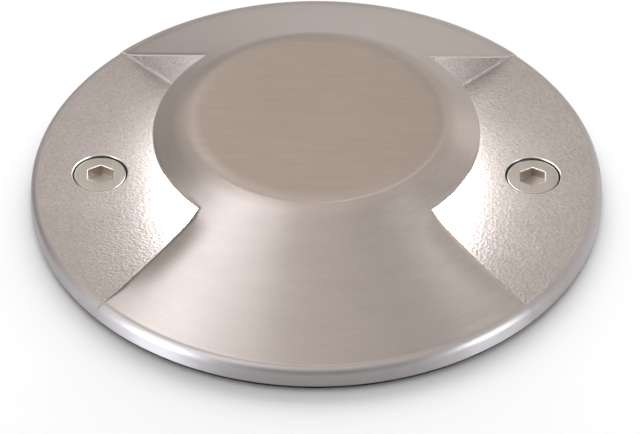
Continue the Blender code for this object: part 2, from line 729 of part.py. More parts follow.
def make_led_carrier():
    """Turned heat spreader: a disc in the housing's mouth with a hollow plinth for the board."""
    top = CARRIER_THICKNESS + PLINTH_HEIGHT
    hollow = PLINTH_RADIUS - PLINTH_WALL
    corners = plain(
        (0, top),
        (PLINTH_RADIUS, top),
        (PLINTH_RADIUS, CARRIER_THICKNESS),
        (CARRIER_RADIUS, CARRIER_THICKNESS),
        (CARRIER_RADIUS, 0),
        (hollow, 0),
        (hollow, top - PLINTH_WALL),
        (0, top - PLINTH_WALL),
    )
    carrier = turned("led_carrier", corners, place=(0, 0, CARRIER_Z))
    high = CARRIER_Z + top + OVERRUN
    low = CARRIER_Z - OVERRUN
    tools = [cylinder(SMALL_HOLE, low, high, SMALL_SEGMENTS, place) for place in carrier_screw_places(0)]
    for x in (-BOARD_SCREW_OFFSET, BOARD_SCREW_OFFSET):
        tools.append(cylinder(SMALL_HOLE, high - OVERRUN - SMALL_LENGTH, high, SMALL_SEGMENTS, (x, 0, 0)))
    x, y = lead_hole_place()[:2]
    tools.append(cylinder(LEAD_SPACING, low, high, SMALL_SEGMENTS, (x, y, 0)))
    cut(carrier, *tools)
    finish(carrier, (0.77, 0.78, 0.79), 0.40, METAL)


# Housing


def housing_blank():
    """Outside of the cup, with the groove for the O-ring in the flange's side."""
    groove_half = RING_SECTION + GAP
    middle = -FLANGE_THICKNESS / 2
    groove = SKIRT_RADIUS - RING_GROOVE_DEPTH
    corners = [
        (0, 0, 0),
        (SKIRT_RADIUS, 0, 0),
        (SKIRT_RADIUS, middle + groove_half, 0),
        (groove, middle + groove_half, 0),
        (groove, middle - groove_half, 0),
        (SKIRT_RADIUS, middle - groove_half, 0),
        (SKIRT_RADIUS, -FLANGE_THICKNESS, 0),
        (BARREL_RADIUS, -FLANGE_THICKNESS, 0),
        (BARREL_RADIUS, -HOUSING_DEPTH, HOUSING_EDGE),
        (0, -HOUSING_DEPTH, 0),
    ]
    return turned("housing", corners, place=(0, 0, HOUSING_Z))


def housing_cavity():
    """Recess for the lens, mouth and barrel."""
    recess = LENS_LEDGE_Z - HOUSING_Z
    under_ledge = recess - LENS_LEDGE_THICKNESS
    floor = HOUSING_FLOOR - HOUSING_DEPTH
    corners = plain(
        (0, OVERRUN),
        (LENS_RECESS_RADIUS, OVERRUN),
        (LENS_RECESS_RADIUS, recess),
        (MOUTH_RADIUS, recess),
        (MOUTH_RADIUS, under_ledge),
        (BARREL_INNER_RADIUS, under_ledge - BARREL_STEP),
        (BARREL_INNER_RADIUS, floor),
        (0, floor),
    )
    return turned("cavity", corners, place=(0, 0, HOUSING_Z))


def pillar(angle, radius_on_circle, top):
    """Screw pillar that stands on the housing's floor, tied to the barrel by a web."""
    foot = HOUSING_FLOOR_Z - HOUSING_FLOOR / 2
    place = on_circle(radius_on_circle, angle)
    post = cylinder(PILLAR_RADIUS, foot, top, SMALL_SEGMENTS, place)
    half = PILLAR_WEB / 2
    outer = BARREL_INNER_RADIUS + BARREL_WALL / 2
    web = box((radius_on_circle, -half, foot), (outer, half, top - PILLAR_WEB), angle)
    return [post, web]


def earth_place(height=0):
    return on_circle(EARTH_CIRCLE, EARTH_ANGLE, height)


def make_housing():
    housing = housing_blank()
    fins = []
    half = FIN_WIDTH / 2
    fin_top = HOUSING_Z - FLANGE_THICKNESS + OVERRUN
    inner = BARREL_RADIUS - BARREL_WALL / 2
    for index in range(FINS):
        angle = 360 * (index + 0.5) / FINS
        fins.append(box((inner, -half, fin_top - FIN_LENGTH), (FIN_RADIUS, half, fin_top), angle))
    insert_foot = HOUSING_Z - GAP - INSERT_LENGTH - GAP
    bosses = []
    holes = []
    for side in (-1, 1):
        axis = (side * SCREW_CIRCLE, 0, 0)
        boss_foot = insert_foot - INSERT_WALL
        bosses.append(cylinder(INSERT_BOSS_RADIUS, boss_foot, fin_top, place=axis))
        holes.append(cylinder(INSERT_RADIUS + GAP, insert_foot, HOUSING_Z + OVERRUN, place=axis))
    fuse(housing, *fins, *bosses)
    cut(housing, housing_cavity())
    posts = []
    pillar_top = CARRIER_Z - GAP
    for index in range(CARRIER_SCREWS):
        posts += pillar(360 * (index + 0.5) / CARRIER_SCREWS, CARRIER_SCREW_CIRCLE, pillar_top)
    driver_seat = DRIVER_Z - GAP
    for angle in (0, 180):
        posts += pillar(angle, LUG_CIRCLE, driver_seat)
    earth_seat = HOUSING_FLOOR_Z + EARTH_BOSS_HEIGHT
    earth_foot = HOUSING_FLOOR_Z - HOUSING_FLOOR / 2
    posts.append(cylinder(PILLAR_RADIUS, earth_foot, earth_seat, SMALL_SEGMENTS, earth_place()))
    fuse(housing, *posts)
    for place in carrier_screw_places(0):
        holes.append(screw_hole(place, pillar_top))
    for angle in (0, 180):
        holes.append(screw_hole(on_circle(LUG_CIRCLE, angle), driver_seat))
    earth_hole = (SMALL_HOLE, HOUSING_FLOOR_Z, earth_seat + OVERRUN, SMALL_SEGMENTS, earth_place())
    holes.append(cylinder(*earth_hole))
    below = HOUSING_BOTTOM_Z - OVERRUN
    above = HOUSING_FLOOR_Z + OVERRUN
    holes.append(cylinder(GLAND_RADIUS + GAP, below, above))
    holes.append(cylinder(VENT_RADIUS + GAP, below, above, place=(0, -VENT_PLACE, 0)))
    cut(housing, *holes)
    finish(housing, (0.36, 0.37, 0.38), 0.50, METAL)


def screw_hole(place, top):
    """Hole for a small screw in the top of a pillar."""
    return cylinder(SMALL_HOLE, top - SMALL_LENGTH, top + OVERRUN, SMALL_SEGMENTS, place)


def make_threaded_insert(side, name):
    place = (side * SCREW_CIRCLE, 0, HOUSING_Z - GAP - INSERT_LENGTH)
    inner = SHANK_RADIUS + GAP
    insert = ring("threaded_insert_" + name, inner, INSERT_RADIUS, INSERT_LENGTH, MEDIUM_SEGMENTS, place)
    finish(insert, (0.72, 0.58, 0.30), 0.35, METAL)


def make_housing_ring():
    """O-ring in the flange's groove, which centres the housing in the sleeve."""
    outer = SLEEVE_BORE - RING_SQUEEZE
    middle = outer - RING_SECTION
    corners = [(middle + x, z, 0) for x, z in circle_points(RING_SECTION, 2 * FILLET_STEPS)]
    o_ring = turned("housing_o_ring", corners, place=(0, 0, HOUSING_Z - FLANGE_THICKNESS / 2))
    finish(o_ring, (0.04, 0.04, 0.04), 0.60)


# Electrical parts in the housing


def make_driver():
    """Round potted module with a lug at each side."""
    recess = DRIVER_RADIUS - DRIVER_RIM
    corners = [
        (0, 0, 0),
        (DRIVER_RADIUS, 0, DRIVER_EDGE),
        (DRIVER_RADIUS, DRIVER_HEIGHT, 0),
        (recess, DRIVER_HEIGHT, 0),
        (recess, DRIVER_HEIGHT - DRIVER_RECESS, 0),
        (0, DRIVER_HEIGHT - DRIVER_RECESS, 0),
    ]
    driver = turned("driver", corners, place=(0, 0, DRIVER_Z))
    half = LUG_WIDTH / 2
    inner = DRIVER_RADIUS - DRIVER_EDGE - DRIVER_RIM
    top = DRIVER_Z + LUG_THICKNESS
    lugs = []
    holes = []
    for angle in (0, 180):
        centre = on_circle(LUG_CIRCLE, angle)
        lugs.append(box((inner, -half, DRIVER_Z), (LUG_CIRCLE, half, top), angle))
        lugs.append(cylinder(half, DRIVER_Z, top, MEDIUM_SEGMENTS, centre))
        holes.append(cylinder(SMALL_HOLE, DRIVER_Z - OVERRUN, top + OVERRUN, SMALL_SEGMENTS, centre))
        holes.append(cylinder(SMALL_HEAD + GAP, top, top + SMALL_LENGTH, SMALL_SEGMENTS, centre))
    fuse(driver, *lugs)
    cut(driver, *holes)
    finish(driver, (0.06, 0.06, 0.07), 0.45)


def make_driver_screws():
    height = DRIVER_Z + LUG_THICKNESS + GAP
    repeat(small_screw("driver_screw"), [on_circle(LUG_CIRCLE, angle, height) for angle in (0, 180)])


def pole_places():
    """X places of the terminal block's poles."""
    pitch = TERMINAL_SIZE[0] / TERMINAL_POLES
    return [(index - (TERMINAL_POLES - 1) / 2) * pitch for index in range(TERMINAL_POLES)]


def make_terminal_block():
    """Block with a screw well and a wire entry for each pole."""
    width, depth, height = TERMINAL_SIZE
    foot = HOUSING_FLOOR_Z + GAP
    corners = [
        (-depth / 2, 0, 0),
        (depth / 2, 0, 0),
        (depth / 2, height, TERMINAL_EDGE),
        (-depth / 2, height, TERMINAL_EDGE),
    ]
    outline = rounded(corners, 2)
    sections = [[(x, point.x, point.y) for point in outline] for x in (-width / 2, width / 2)]
    block = lofted("terminal_block", sections, (0, TERMINAL_PLACE, foot))
    tools = []
    top = foot + height
    for x in pole_places():
        well = (x, TERMINAL_PLACE, 0)
        tools.append(cylinder(TERMINAL_WELL, top - TERMINAL_WELL_DEPTH, top + OVERRUN, SMALL_SEGMENTS, well))
        entry = cylinder(TERMINAL_WELL, 0, depth / 4 + OVERRUN, SMALL_SEGMENTS)
        entry.rotation_euler.x = -math.pi / 2
        entry.location = (x, TERMINAL_PLACE - depth / 2 - OVERRUN, foot + height * TERMINAL_ENTRY_SHARE)
        tools.append(entry)
    cut(block, *tools)
    finish(block, (0.80, 0.80, 0.76), 0.45)


def make_earth_terminal():
    """Ring tag under a screw on the earth boss."""
    seat = HOUSING_FLOOR_Z + EARTH_BOSS_HEIGHT + GAP
    top = seat + EARTH_TAG_THICKNESS
    tag = cylinder(EARTH_TAG_RADIUS, seat, top, SMALL_SEGMENTS, earth_place())
    centre = earth_place()
    tongue = prism("tongue", earth_tongue(), seat, top)
    fuse(tag, tongue)
    cut(tag, cylinder(SMALL_HOLE, seat - OVERRUN, top + OVERRUN, SMALL_SEGMENTS, centre))
    tag.name = "earth_tag"
    finish(tag, (0.70, 0.70, 0.68), 0.35, METAL)
    screw = small_screw("earth_screw", EARTH_BOSS_HEIGHT - OVERRUN)
    screw.location = earth_place(top + GAP)


def earth_tongue():
    """Outline of the tag's tongue, which points along +Y."""
    centre = earth_place()
    half = EARTH_TAG_WIDTH / 2
    far = centre.y + EARTH_TAG_LENGTH
    return [(centre.x - half, centre.y), (centre.x + half, centre.y), (centre.x + half, far), (centre.x - half, far)]


def lead(name, route, colour):
    """Round insulated lead along one smooth curve, given by its two ends and their two handles."""
    curve = bpy.data.curves.new(name, "CURVE")
    curve.dimensions = "3D"
    curve.bevel_depth = LEAD_RADIUS
    curve.bevel_resolution = 1
    curve.use_fill_caps = True
    points = interpolate_bezier(*[Vector(point) for point in route], 4 * FILLET_STEPS)
    spline = curve.splines.new("POLY")
    spline.points.add(len(points) - 1)
    for target, point in zip(spline.points, points):
        target.co = (*point, 1)
    finish(new_object(name, curve), colour, 0.50)


def make_supply_leads():
    """Line, neutral and earth leads from the terminal block's entries."""
    entry_z = HOUSING_FLOOR_Z + GAP + TERMINAL_SIZE[2] * TERMINAL_ENTRY_SHARE
    entry_y = TERMINAL_PLACE - TERMINAL_SIZE[1] / 2 + TERMINAL_SIZE[1] / 6
    bend_y = DRIVER_RADIUS / 2
    driver_z = DRIVER_Z - GAP
    earth, neutral, line = pole_places()
    for name, x, colour in (("neutral", neutral, (0.05, 0.10, 0.35)), ("line", line, (0.20, 0.08, 0.04))):
        bend = (x, bend_y, entry_z)
        lead("supply_lead_" + name, ((x, entry_y, entry_z), bend, bend, (x, bend_y, driver_z)), colour)
    tag_top = HOUSING_FLOOR_Z + EARTH_BOSS_HEIGHT + GAP + EARTH_TAG_THICKNESS
    end = earth_place(tag_top + GAP + LEAD_RADIUS)
    end.y += EARTH_TAG_LENGTH - EARTH_TAG_WIDTH / 2
    leave = (earth, bend_y, entry_z)
    arrive = (end.x, bend_y, end.z)
    lead("earth_lead", ((earth, entry_y, entry_z), leave, arrive, end), (0.20, 0.45, 0.08))


def make_led_leads():
    """Two leads from the driver's top through the carrier to the board."""
    low = DRIVER_Z + DRIVER_HEIGHT - DRIVER_RECESS + GAP
    high = BOARD_Z - GAP
    middle = (low + high) / 2
    hole_x, hole_y = lead_hole_place()[:2]
    for side, name in ((-1, "minus"), (1, "plus")):
        x = hole_x + side * LEAD_SPACING / 2
        start = (x, hole_y / 2, low)
        route = (start, (x, hole_y / 2, middle), (x, hole_y, middle), (x, hole_y, high))
        lead("led_lead_" + name, route, (0.55, 0.05, 0.04) if side > 0 else (0.04, 0.04, 0.04))


# Vent plug and cable gland


def make_vent_plug():
    """Pressure vent in the housing's floor, screwed in from below."""
    place = (0, -VENT_PLACE, HOUSING_BOTTOM_Z - GAP - SEAL_THICKNESS - GAP)
    plug = hexagon(VENT_HEX, -VENT_HEAD, 0, place)
    fuse(plug, cylinder(VENT_RADIUS, -VENT_HEAD / 2, VENT_STEM, MEDIUM_SEGMENTS, place))
    cut(plug, cylinder(VENT_BORE, -VENT_HEAD - OVERRUN, VENT_STEM / 2, SMALL_SEGMENTS, place))
    plug.name = "vent_plug"
    finish(plug, (0.10, 0.10, 0.10), 0.50)
    place = (0, -VENT_PLACE, HOUSING_BOTTOM_Z - GAP - SEAL_THICKNESS)
    outer = VENT_RADIUS + VENT_SEAL_WIDTH
    seal = ring("vent_seal", VENT_RADIUS + GAP, outer, SEAL_THICKNESS, MEDIUM_SEGMENTS, place)
    finish(seal, (0.05, 0.05, 0.05), 0.70)


def gland_levels():
    """Heights of the gland body's collar and lower end, from the housing's bottom down."""
    collar_top = HOUSING_BOTTOM_Z - GAP - SEAL_THICKNESS - GAP
    collar_bottom = collar_top - GLAND_HEX_HEIGHT
    return collar_top, collar_bottom, collar_bottom - GLAND_STEM


def make_gland_body():
    collar_top, collar_bottom, end = gland_levels()
    top = HOUSING_FLOOR_Z + GAP + LOCKNUT_HEIGHT + OVERRUN / 2
    body = hexagon(GLAND_HEX, collar_bottom, collar_top)
    fuse(body, cylinder(GLAND_RADIUS, end, top))
    bore = cylinder(GLAND_BORE, end - OVERRUN, top + OVERRUN)
    cut(body, bore)
    body.name = "gland_body"
    finish(body, (0.55, 0.56, 0.57), 0.35, METAL)


def make_gland_fixings():
    seal_z = HOUSING_BOTTOM_Z - GAP - SEAL_THICKNESS
    outer = GLAND_HEX / 2 - GAP
    flange_seal = ring("gland_flange_seal", GLAND_RADIUS + GAP, outer, SEAL_THICKNESS, MEDIUM_SEGMENTS, (0, 0, seal_z))
    finish(flange_seal, (0.05, 0.05, 0.05), 0.70)
    low = HOUSING_FLOOR_Z + GAP
    locknut = hexagon(LOCKNUT_HEX, low, low + LOCKNUT_HEIGHT)
    cut(locknut, cylinder(GLAND_RADIUS + GAP, low - OVERRUN, low + LOCKNUT_HEIGHT + OVERRUN))
    locknut.name = "gland_locknut"
    finish(locknut, (0.55, 0.56, 0.57), 0.35, METAL)


def gland_nut_levels():
    """Heights of the nut's top, of the floor that holds the seal, and of the nut's open end."""
    top = gland_levels()[1] - GAP
    bottom = top - GLAND_NUT_HEIGHT
    return top, bottom + GLAND_NUT_END, bottom


def make_gland_seal():
    """Rubber bush that the nut squeezes round the cable."""
    low = gland_nut_levels()[1] + GAP
    collar = gland_levels()[2] - GAP
    collar_radius = GLAND_RADIUS - GAP
    bush_radius = GLAND_BORE - GAP
    corners = plain(
        (CABLE_RADIUS, 0),
        (collar_radius, 0),
        (collar_radius, collar - low),
        (bush_radius, collar - low),
        (bush_radius, GLAND_SEAL_LENGTH),
        (CABLE_RADIUS, GLAND_SEAL_LENGTH),
    )
    seal = turned("gland_seal", corners, MEDIUM_SEGMENTS, (0, 0, low))
    finish(seal, (0.06, 0.06, 0.06), 0.70)


def make_gland_nut():
    """Cap nut with its origin on its axis, at its open lower end."""
    top, floor, bottom = gland_nut_levels()
    place = (0, 0, bottom)
    hex_low = GLAND_NUT_HEIGHT - GLAND_NUT_HEX_HEIGHT
    nut = hexagon(GLAND_HEX, hex_low, GLAND_NUT_HEIGHT, place)
    outer = GLAND_HEX / 2 - GAP
    dome = [(0, 0, 0), (outer, 0, hex_low), (outer, hex_low + OVERRUN, 0), (0, hex_low + OVERRUN, 0)]
    fuse(nut, turned("dome", dome, MEDIUM_SEGMENTS, place))
    bore = cylinder(GLAND_RADIUS + GAP, floor - bottom, GLAND_NUT_HEIGHT + OVERRUN, place=place)
    entry = cylinder(CABLE_RADIUS + GAP, -OVERRUN, GLAND_NUT_HEIGHT, place=place)
    cut(nut, bore, entry)
    nut.name = "gland_nut"
    finish(nut, (0.55, 0.56, 0.57), 0.35, METAL)


# Sleeve


def sleeve_blank():
    """Outside of the pot: foot, anchor rings, wall, step and flange."""
    lower = SLEEVE_LOWER_BORE + SLEEVE_WALL
    foot = lower - SLEEVE_DRAFT
    upper = SLEEVE_BORE + SLEEVE_WALL
    step = SLEEVE_LEDGE_Z - SLEEVE_WALL
    flange = SLEEVE_TOP_Z - SLEEVE_FLANGE_THICKNESS
    corners = plain((0, 0), (foot + SLEEVE_FOOT, 0), (foot + SLEEVE_FOOT, SLEEVE_BASE), (foot, SLEEVE_BASE))
    for share in ANCHOR_RING_SHARES:
        height = share * step
        wall = foot + SLEEVE_DRAFT * share
        reach = wall + ANCHOR_RING_REACH
        upper_side = height + ANCHOR_RING_THICKNESS
        corners += plain((wall, height), (reach, height), (reach, upper_side), (wall, upper_side))
    corners += plain(
        (lower, step - SLEEVE_LEDGE),
        (upper, step),
        (upper, flange),
        (SLEEVE_FLANGE_RADIUS, flange),
        (SLEEVE_FLANGE_RADIUS, SLEEVE_TOP_Z),
        (0, SLEEVE_TOP_Z),
    )
    return turned("sleeve", corners)


def sleeve_cavity():
    """Inside of the pot, stepped at the ledge that carries the housing."""
    corners = plain(
        (0, SLEEVE_BASE),
        (SLEEVE_LOWER_BORE - SLEEVE_DRAFT, SLEEVE_BASE),
        (SLEEVE_LOWER_BORE, SLEEVE_LEDGE_Z),
        (SLEEVE_BORE, SLEEVE_LEDGE_Z),
        (SLEEVE_BORE, SLEEVE_TOP_Z + OVERRUN),
        (0, SLEEVE_TOP_Z + OVERRUN),
    )
    return turned("sleeve_cavity", corners)


def port_cylinder(radius, inner, outer, side, segments=MEDIUM_SEGMENTS):
    """Cylinder along a cable port's axis, between two distances from the middle."""
    made = cylinder(radius, inner, outer, segments)
    made.rotation_euler.x = -side * math.pi / 2
    made.location.z = PORT_HEIGHT
    return made


def make_sleeve():
    sleeve = sleeve_blank()
    additions = []
    rib_top = ANCHOR_RIB_SHARE * (SLEEVE_LEDGE_Z - SLEEVE_WALL) + ANCHOR_RING_THICKNESS / 2
    rib_outer = SLEEVE_LOWER_BORE + SLEEVE_WALL - SLEEVE_DRAFT + ANCHOR_RING_REACH - ANCHOR_RIB_WIDTH
    half = ANCHOR_RIB_WIDTH / 2
    for index in range(ANCHOR_RIBS):
        angle = 360 * (index + 0.5) / ANCHOR_RIBS
        low = (SLEEVE_LOWER_BORE, -half, SLEEVE_BASE / 2)
        additions.append(box(low, (rib_outer, half, rib_top), angle))
    key_floor = HOUSING_Z - 2 * GAP - INSERT_LENGTH - INSERT_WALL - OVERRUN
    hollows = [sleeve_cavity()]
    for side in (-1, 1):
        axis = (side * SCREW_CIRCLE, 0, 0)
        shell_low = key_floor - SLEEVE_WALL
        additions.append(cylinder(KEY_RADIUS + SLEEVE_WALL, shell_low, SLEEVE_LEDGE_Z, place=axis))
        hollows.append(cylinder(KEY_RADIUS, key_floor, SLEEVE_LEDGE_Z + OVERRUN, place=axis))
        spout = PORT_BORE + PORT_WALL
        additions.append(port_cylinder(spout, SLEEVE_LOWER_BORE / 2, SPOUT_REACH, side))
        reach = RIM_RADIUS + OVERRUN
        hollows.append(port_cylinder(PORT_BORE, SLEEVE_LOWER_BORE / 2, reach, side))
    for index in range(DRAINS):
        place = on_circle(DRAIN_CIRCLE, 360 * (index + 0.5) / DRAINS)
        hollows.append(cylinder(DRAIN_RADIUS, -OVERRUN, SLEEVE_BASE + OVERRUN, SMALL_SEGMENTS, place))
    fuse(sleeve, *additions)
    cut(sleeve, *hollows)
    finish(sleeve, (0.05, 0.05, 0.05), 0.55)


def bush_corners(bore_floor):
    """Profile of a flanged bush; its flange is at zero and its stem runs up into the port."""
    radius = PORT_BORE - GAP
    flange = PORT_BORE + BUSH_FLANGE_WIDTH
    hollow = radius - BUSH_WALL
    stem = BUSH_LENGTH + BUSH_FLANGE
    if bore_floor:
        corners = plain((0, 0), (flange, 0), (flange, BUSH_FLANGE), (radius, BUSH_FLANGE), (radius, stem))
        return corners + plain((hollow, stem), (hollow, BUSH_FLANGE), (0, BUSH_FLANGE))
    corners = plain((CABLE_RADIUS, 0), (flange, 0), (flange, BUSH_FLANGE), (radius, BUSH_FLANGE), (radius, stem))
    web = stem - BUSH_FLANGE
    return corners + plain((hollow, stem), (hollow, web), (CABLE_RADIUS, web))


def make_port_bush(name, side, bore_floor, colour):
    """Bush in a cable port, with its flange against the spout's end."""
    outer_face = SPOUT_REACH + GAP + BUSH_FLANGE
    bush = turned(name, bush_corners(bore_floor), MEDIUM_SEGMENTS, (0, side * outer_face, PORT_HEIGHT))
    bush.rotation_euler.x = side * math.pi / 2
    finish(bush, colour, 0.60)


def main():
    for old in list(bpy.data.objects):
        bpy.data.objects.remove(old)
    make_cover()
    for side, name in ((-1, "left"), (1, "right")):
        make_cover_screw(side, name)
        make_screw_washer(side, name)
        make_threaded_insert(side, name)
    make_diffuser()
    make_lens_gaskets()
    make_deflector()
    make_leds()
    make_led_board()
    make_led_connector()
    board_screw_places = [(side * BOARD_SCREW_OFFSET, 0, BOARD_TOP_Z + GAP) for side in (-1, 1)]
    repeat(small_screw("board_screw", SMALL_LENGTH - BOARD_THICKNESS), board_screw_places)
    make_led_carrier()
    repeat(small_screw("carrier_screw"), carrier_screw_places(LENS_LEDGE_Z + GAP))
    make_housing()
    make_housing_ring()
    make_driver()
    make_driver_screws()
    make_terminal_block()
    make_earth_terminal()
    make_supply_leads()
    make_led_leads()
    make_vent_plug()
    make_gland_body()
    make_gland_fixings()
    make_gland_seal()
    make_gland_nut()
    make_sleeve()
    make_port_bush("sleeve_grommet", 1, False, (0.05, 0.05, 0.05))
    make_port_bush("sleeve_plug", -1, True, (0.07, 0.07, 0.07))


main()
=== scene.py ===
"""Looks of the recessed ground light: fine cover and screws, materials, stage, lights and camera."""
import json
import math

import bmesh
import bpy
import numpy as np
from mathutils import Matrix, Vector


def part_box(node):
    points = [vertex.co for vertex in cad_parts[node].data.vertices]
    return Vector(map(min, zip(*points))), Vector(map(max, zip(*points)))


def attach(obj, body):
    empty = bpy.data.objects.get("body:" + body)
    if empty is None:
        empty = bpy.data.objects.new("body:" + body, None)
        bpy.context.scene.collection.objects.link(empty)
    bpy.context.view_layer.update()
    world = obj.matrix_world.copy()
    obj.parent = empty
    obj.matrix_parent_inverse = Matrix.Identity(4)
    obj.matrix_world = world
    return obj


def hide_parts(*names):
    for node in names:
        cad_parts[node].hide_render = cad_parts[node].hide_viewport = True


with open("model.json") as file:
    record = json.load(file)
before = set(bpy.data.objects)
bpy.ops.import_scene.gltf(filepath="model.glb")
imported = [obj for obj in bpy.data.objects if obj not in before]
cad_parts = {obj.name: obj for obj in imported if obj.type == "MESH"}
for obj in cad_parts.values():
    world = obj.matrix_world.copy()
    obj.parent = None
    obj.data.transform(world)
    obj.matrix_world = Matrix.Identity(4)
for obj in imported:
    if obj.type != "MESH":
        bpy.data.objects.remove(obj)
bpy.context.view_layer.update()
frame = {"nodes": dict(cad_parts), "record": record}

MM = 0.001
PAVING = 100.0
RIGHT_ANGLE = math.pi / 2

# Points closer than this are joined, in a whole shape and in a small one
JOIN = 0.004 * MM
FINE_JOIN = 0.002 * MM

# Cover, in millimetres with heights up from the paving, as in the CAD
RIM_R = 55.0
RIM_TAPER = 0.3
RIM_TOP_R = RIM_R - RIM_TAPER
RIM_H = 3.6
LAP_R = 54.1
RECESS = 0.5
FOOT_R = 53.1
CAP_H = 17.9
CAP_TOP_R = 24.8
LIP_R = 31.1
LIP_THICKNESS = 2.4
FLOOR = 3.3
WINDOW_R = 29.3
WALL = 3.4
CEILING = CAP_H - WALL
CROWN_CHAMFER = 3.8
PRESS_R = 34.5
PRESS_LOW = -6.3
SKIRT_R = 48.8
SKIRT_IN = 46.4
SEAT = -7.6
HALF_ANGLE = math.radians(43.3)
DRAFT = math.radians(8.0)
SLOPE = (CAP_H - RIM_H) / (FOOT_R - CAP_TOP_R)

# Hollows under the fans, from a web at each fan's middle to an angle in degrees, and the ribs and bosses
CORE_INSET = 0.6
CORE_LOW = -1.0
CORE_REACH = 36.3
WEB_HALF_ANGLE = 2.5
RIBS = 8
RIB_HALF_WIDTH = 1.2
RIB_LOW = -4.6
RIB_LAP_IN = 2.6
RIB_LAP_OUT = 1.2
BOSS_R = 7.0
CAST_MIDDLE = FLOOR / 2

# Screw holes in the cover
SCREW_X = 41.6
BORE_R = 5.3
BORE_LOW = -4.6
BORE_FLARE = 0.2
BORE_CUT_TOP = 8.0
SHANK_HOLE_R = 3.4
SHANK_CUT = (SEAT - 1.0, 2.0)

# Cover screws: heads, sockets and threads
HEAD_TOP = 3.0
HEAD_R = 5.0
HEAD_EDGE = 0.22
HEAD_DEPTH = 6.0
HEAD_CHAMFER = 0.1
NECK_DEPTH = 8.0
SOCKET_HALF_WIDTH = 2.4
SOCKET_BEVEL = 0.12
SOCKET_DEPTH = 2.0
SOCKET_TIP = 2.6
SHANK_R = 3.0
PITCH = 1.0
THREAD_FROM = 7.0
THREAD_DEPTH = 0.5
THREAD_FLANK = 2.6
THREAD_FADE = 0.9
POINT_R = 2.4
POINT_HEIGHT = 0.6

# Finer forms than the CAD's
SHOULDER_ROUND = 13.0
FOOT_ROUND = 1.0
RIM_ROUND = 1.3
RIM_CHAMFER = 0.15
FILLET = 0.7
LIP_EDGE = 0.4
LIP_UNDERCUT = 1.7

# Rounding of a fan's edges at the lip, near it and out at the rim; the front edges are softer
FRONT_ROUNDS = (0.8, 2.0, 1.5)
BACK_ROUNDS = (0.4, 0.6, 0.6)
NEAR_REACH = 2.5
FAR_FROM_R = 36.0
FAR_REACH = 12.0

# Fall of the front fan towards both pockets: it grows outside the lip and fades before the rim
CROWN_DROP = 0.55
CROWN_WIDTH = 5.5
CROWN_GROWTH = 5.0
CROWN_FADE_R = 42.0
CROWN_FADE = 9.0

# Shares of the pocket's half width: where the lip's edge starts to grow to the fan's rounding, and the
# width over which it runs into the fan at the corner
CORNER_FROM = 0.55
CORNER_SHARE = 0.12

# Edges sharper than this many degrees stay sharp
SHARP_FROM = 32
THREAD_SHARP_FROM = 50
CAD_SHARP_FROM = 31


def cone_z(r):
    """Height of the sharp cone at a radius."""
    return RIM_H + (FOOT_R - r) * SLOPE


LIP_UNDER = cone_z(LIP_R) - LIP_THICKNESS
LIP_NOSE = LIP_UNDER + LIP_UNDERCUT


def arc_corner(before, here, after, radius, steps):
    """Points of a fillet at a corner of a profile."""
    here = Vector(here)
    a = Vector(before) - here
    b = Vector(after) - here
    reach = radius / math.tan(a.angle(b) / 2)
    middle = here + (a.normalized() + b.normalized()).normalized() * math.hypot(reach, radius)
    start = here + a.normalized() * reach - middle
    end = here + b.normalized() * reach - middle
    sweep = start.angle_signed(end)
    points = []
    for step in range(steps + 1):
        angle = -sweep * step / steps
        c, s = math.cos(angle), math.sin(angle)
        points.append((middle.x + c * start.x - s * start.y, middle.y + s * start.x + c * start.y))
    return points


SHOULDER_ARC = arc_corner((0, CAP_H), (CAP_TOP_R, CAP_H), (FOOT_R, RIM_H), SHOULDER_ROUND, steps=12)
FOOT_ARC = arc_corner((CAP_TOP_R, CAP_H), (FOOT_R, RIM_H), (RIM_TOP_R, RIM_H), FOOT_ROUND, steps=8)

# Mesh columns of a quarter, from the pocket's middle over its fillet and wall to the fan's middle, and
# the share of the wall's height where its high part starts
N_FLOOR = 16
N_FILLET = 6
N_WALL_LOW = 8
N_WALL_HIGH = 3
N_EDGE = 6
N_FAN = 34
I_FILLET = N_FLOOR
I_WALL = I_FILLET + N_FILLET
I_LIP = I_WALL + N_WALL_LOW
I_EDGE = I_LIP + N_WALL_HIGH
I_FAN = I_EDGE + N_EDGE
N_COLUMNS = I_FAN + N_FAN + 1
HIGH_WALL_FROM = 0.80
FAN_CROWDING = 1.3
FAN_SHARES = [(j / N_FAN) ** FAN_CROWDING for j in range(1, N_FAN + 1)]
EDGE_POINTS = 5

# Mesh rows: radii outward from the lip, into the window, over the crown's inside and over the cap
OUTSIDE_RADII = sorted({round(r, 4) for r in [
    LIP_R, 31.25, 31.6, 32.2, 33.0, 34.2, 36, 38, 40, 42, 44, 46, 48, 49.5, 50.8, 51.6,
    *(point[0] for point in FOOT_ARC)]})
WINDOW_RADII = (30.5, 29.9, WINDOW_R)
CROWN_RADII = (WINDOW_R - CROWN_CHAMFER, 12, 3)
CAP_RADII = [29.8, 28.6, *(point[0] for point in reversed(SHOULDER_ARC)), 20, 16, 12, 8, 4, 1.5]
RIM_STEPS = 7
RIM_SIDE_LEVELS = (1.4, 0.25)
SEAT_RING = ((RIM_R - RIM_CHAMFER, 0), (LAP_R, 0), (LAP_R, RECESS))
UNDERSIDE = ((SKIRT_R, RECESS), (SKIRT_R, SEAT), (SKIRT_IN, SEAT), (SKIRT_IN, 0), (PRESS_R, 0),
             (PRESS_R, PRESS_LOW))

BRUSHED, CAST, MACHINED = 0, 1, 2


def ease(x):
    """Smooth step from 0 to 1."""
    x = min(max(x, 0.0), 1.0)
    return x * x * (3 - 2 * x)


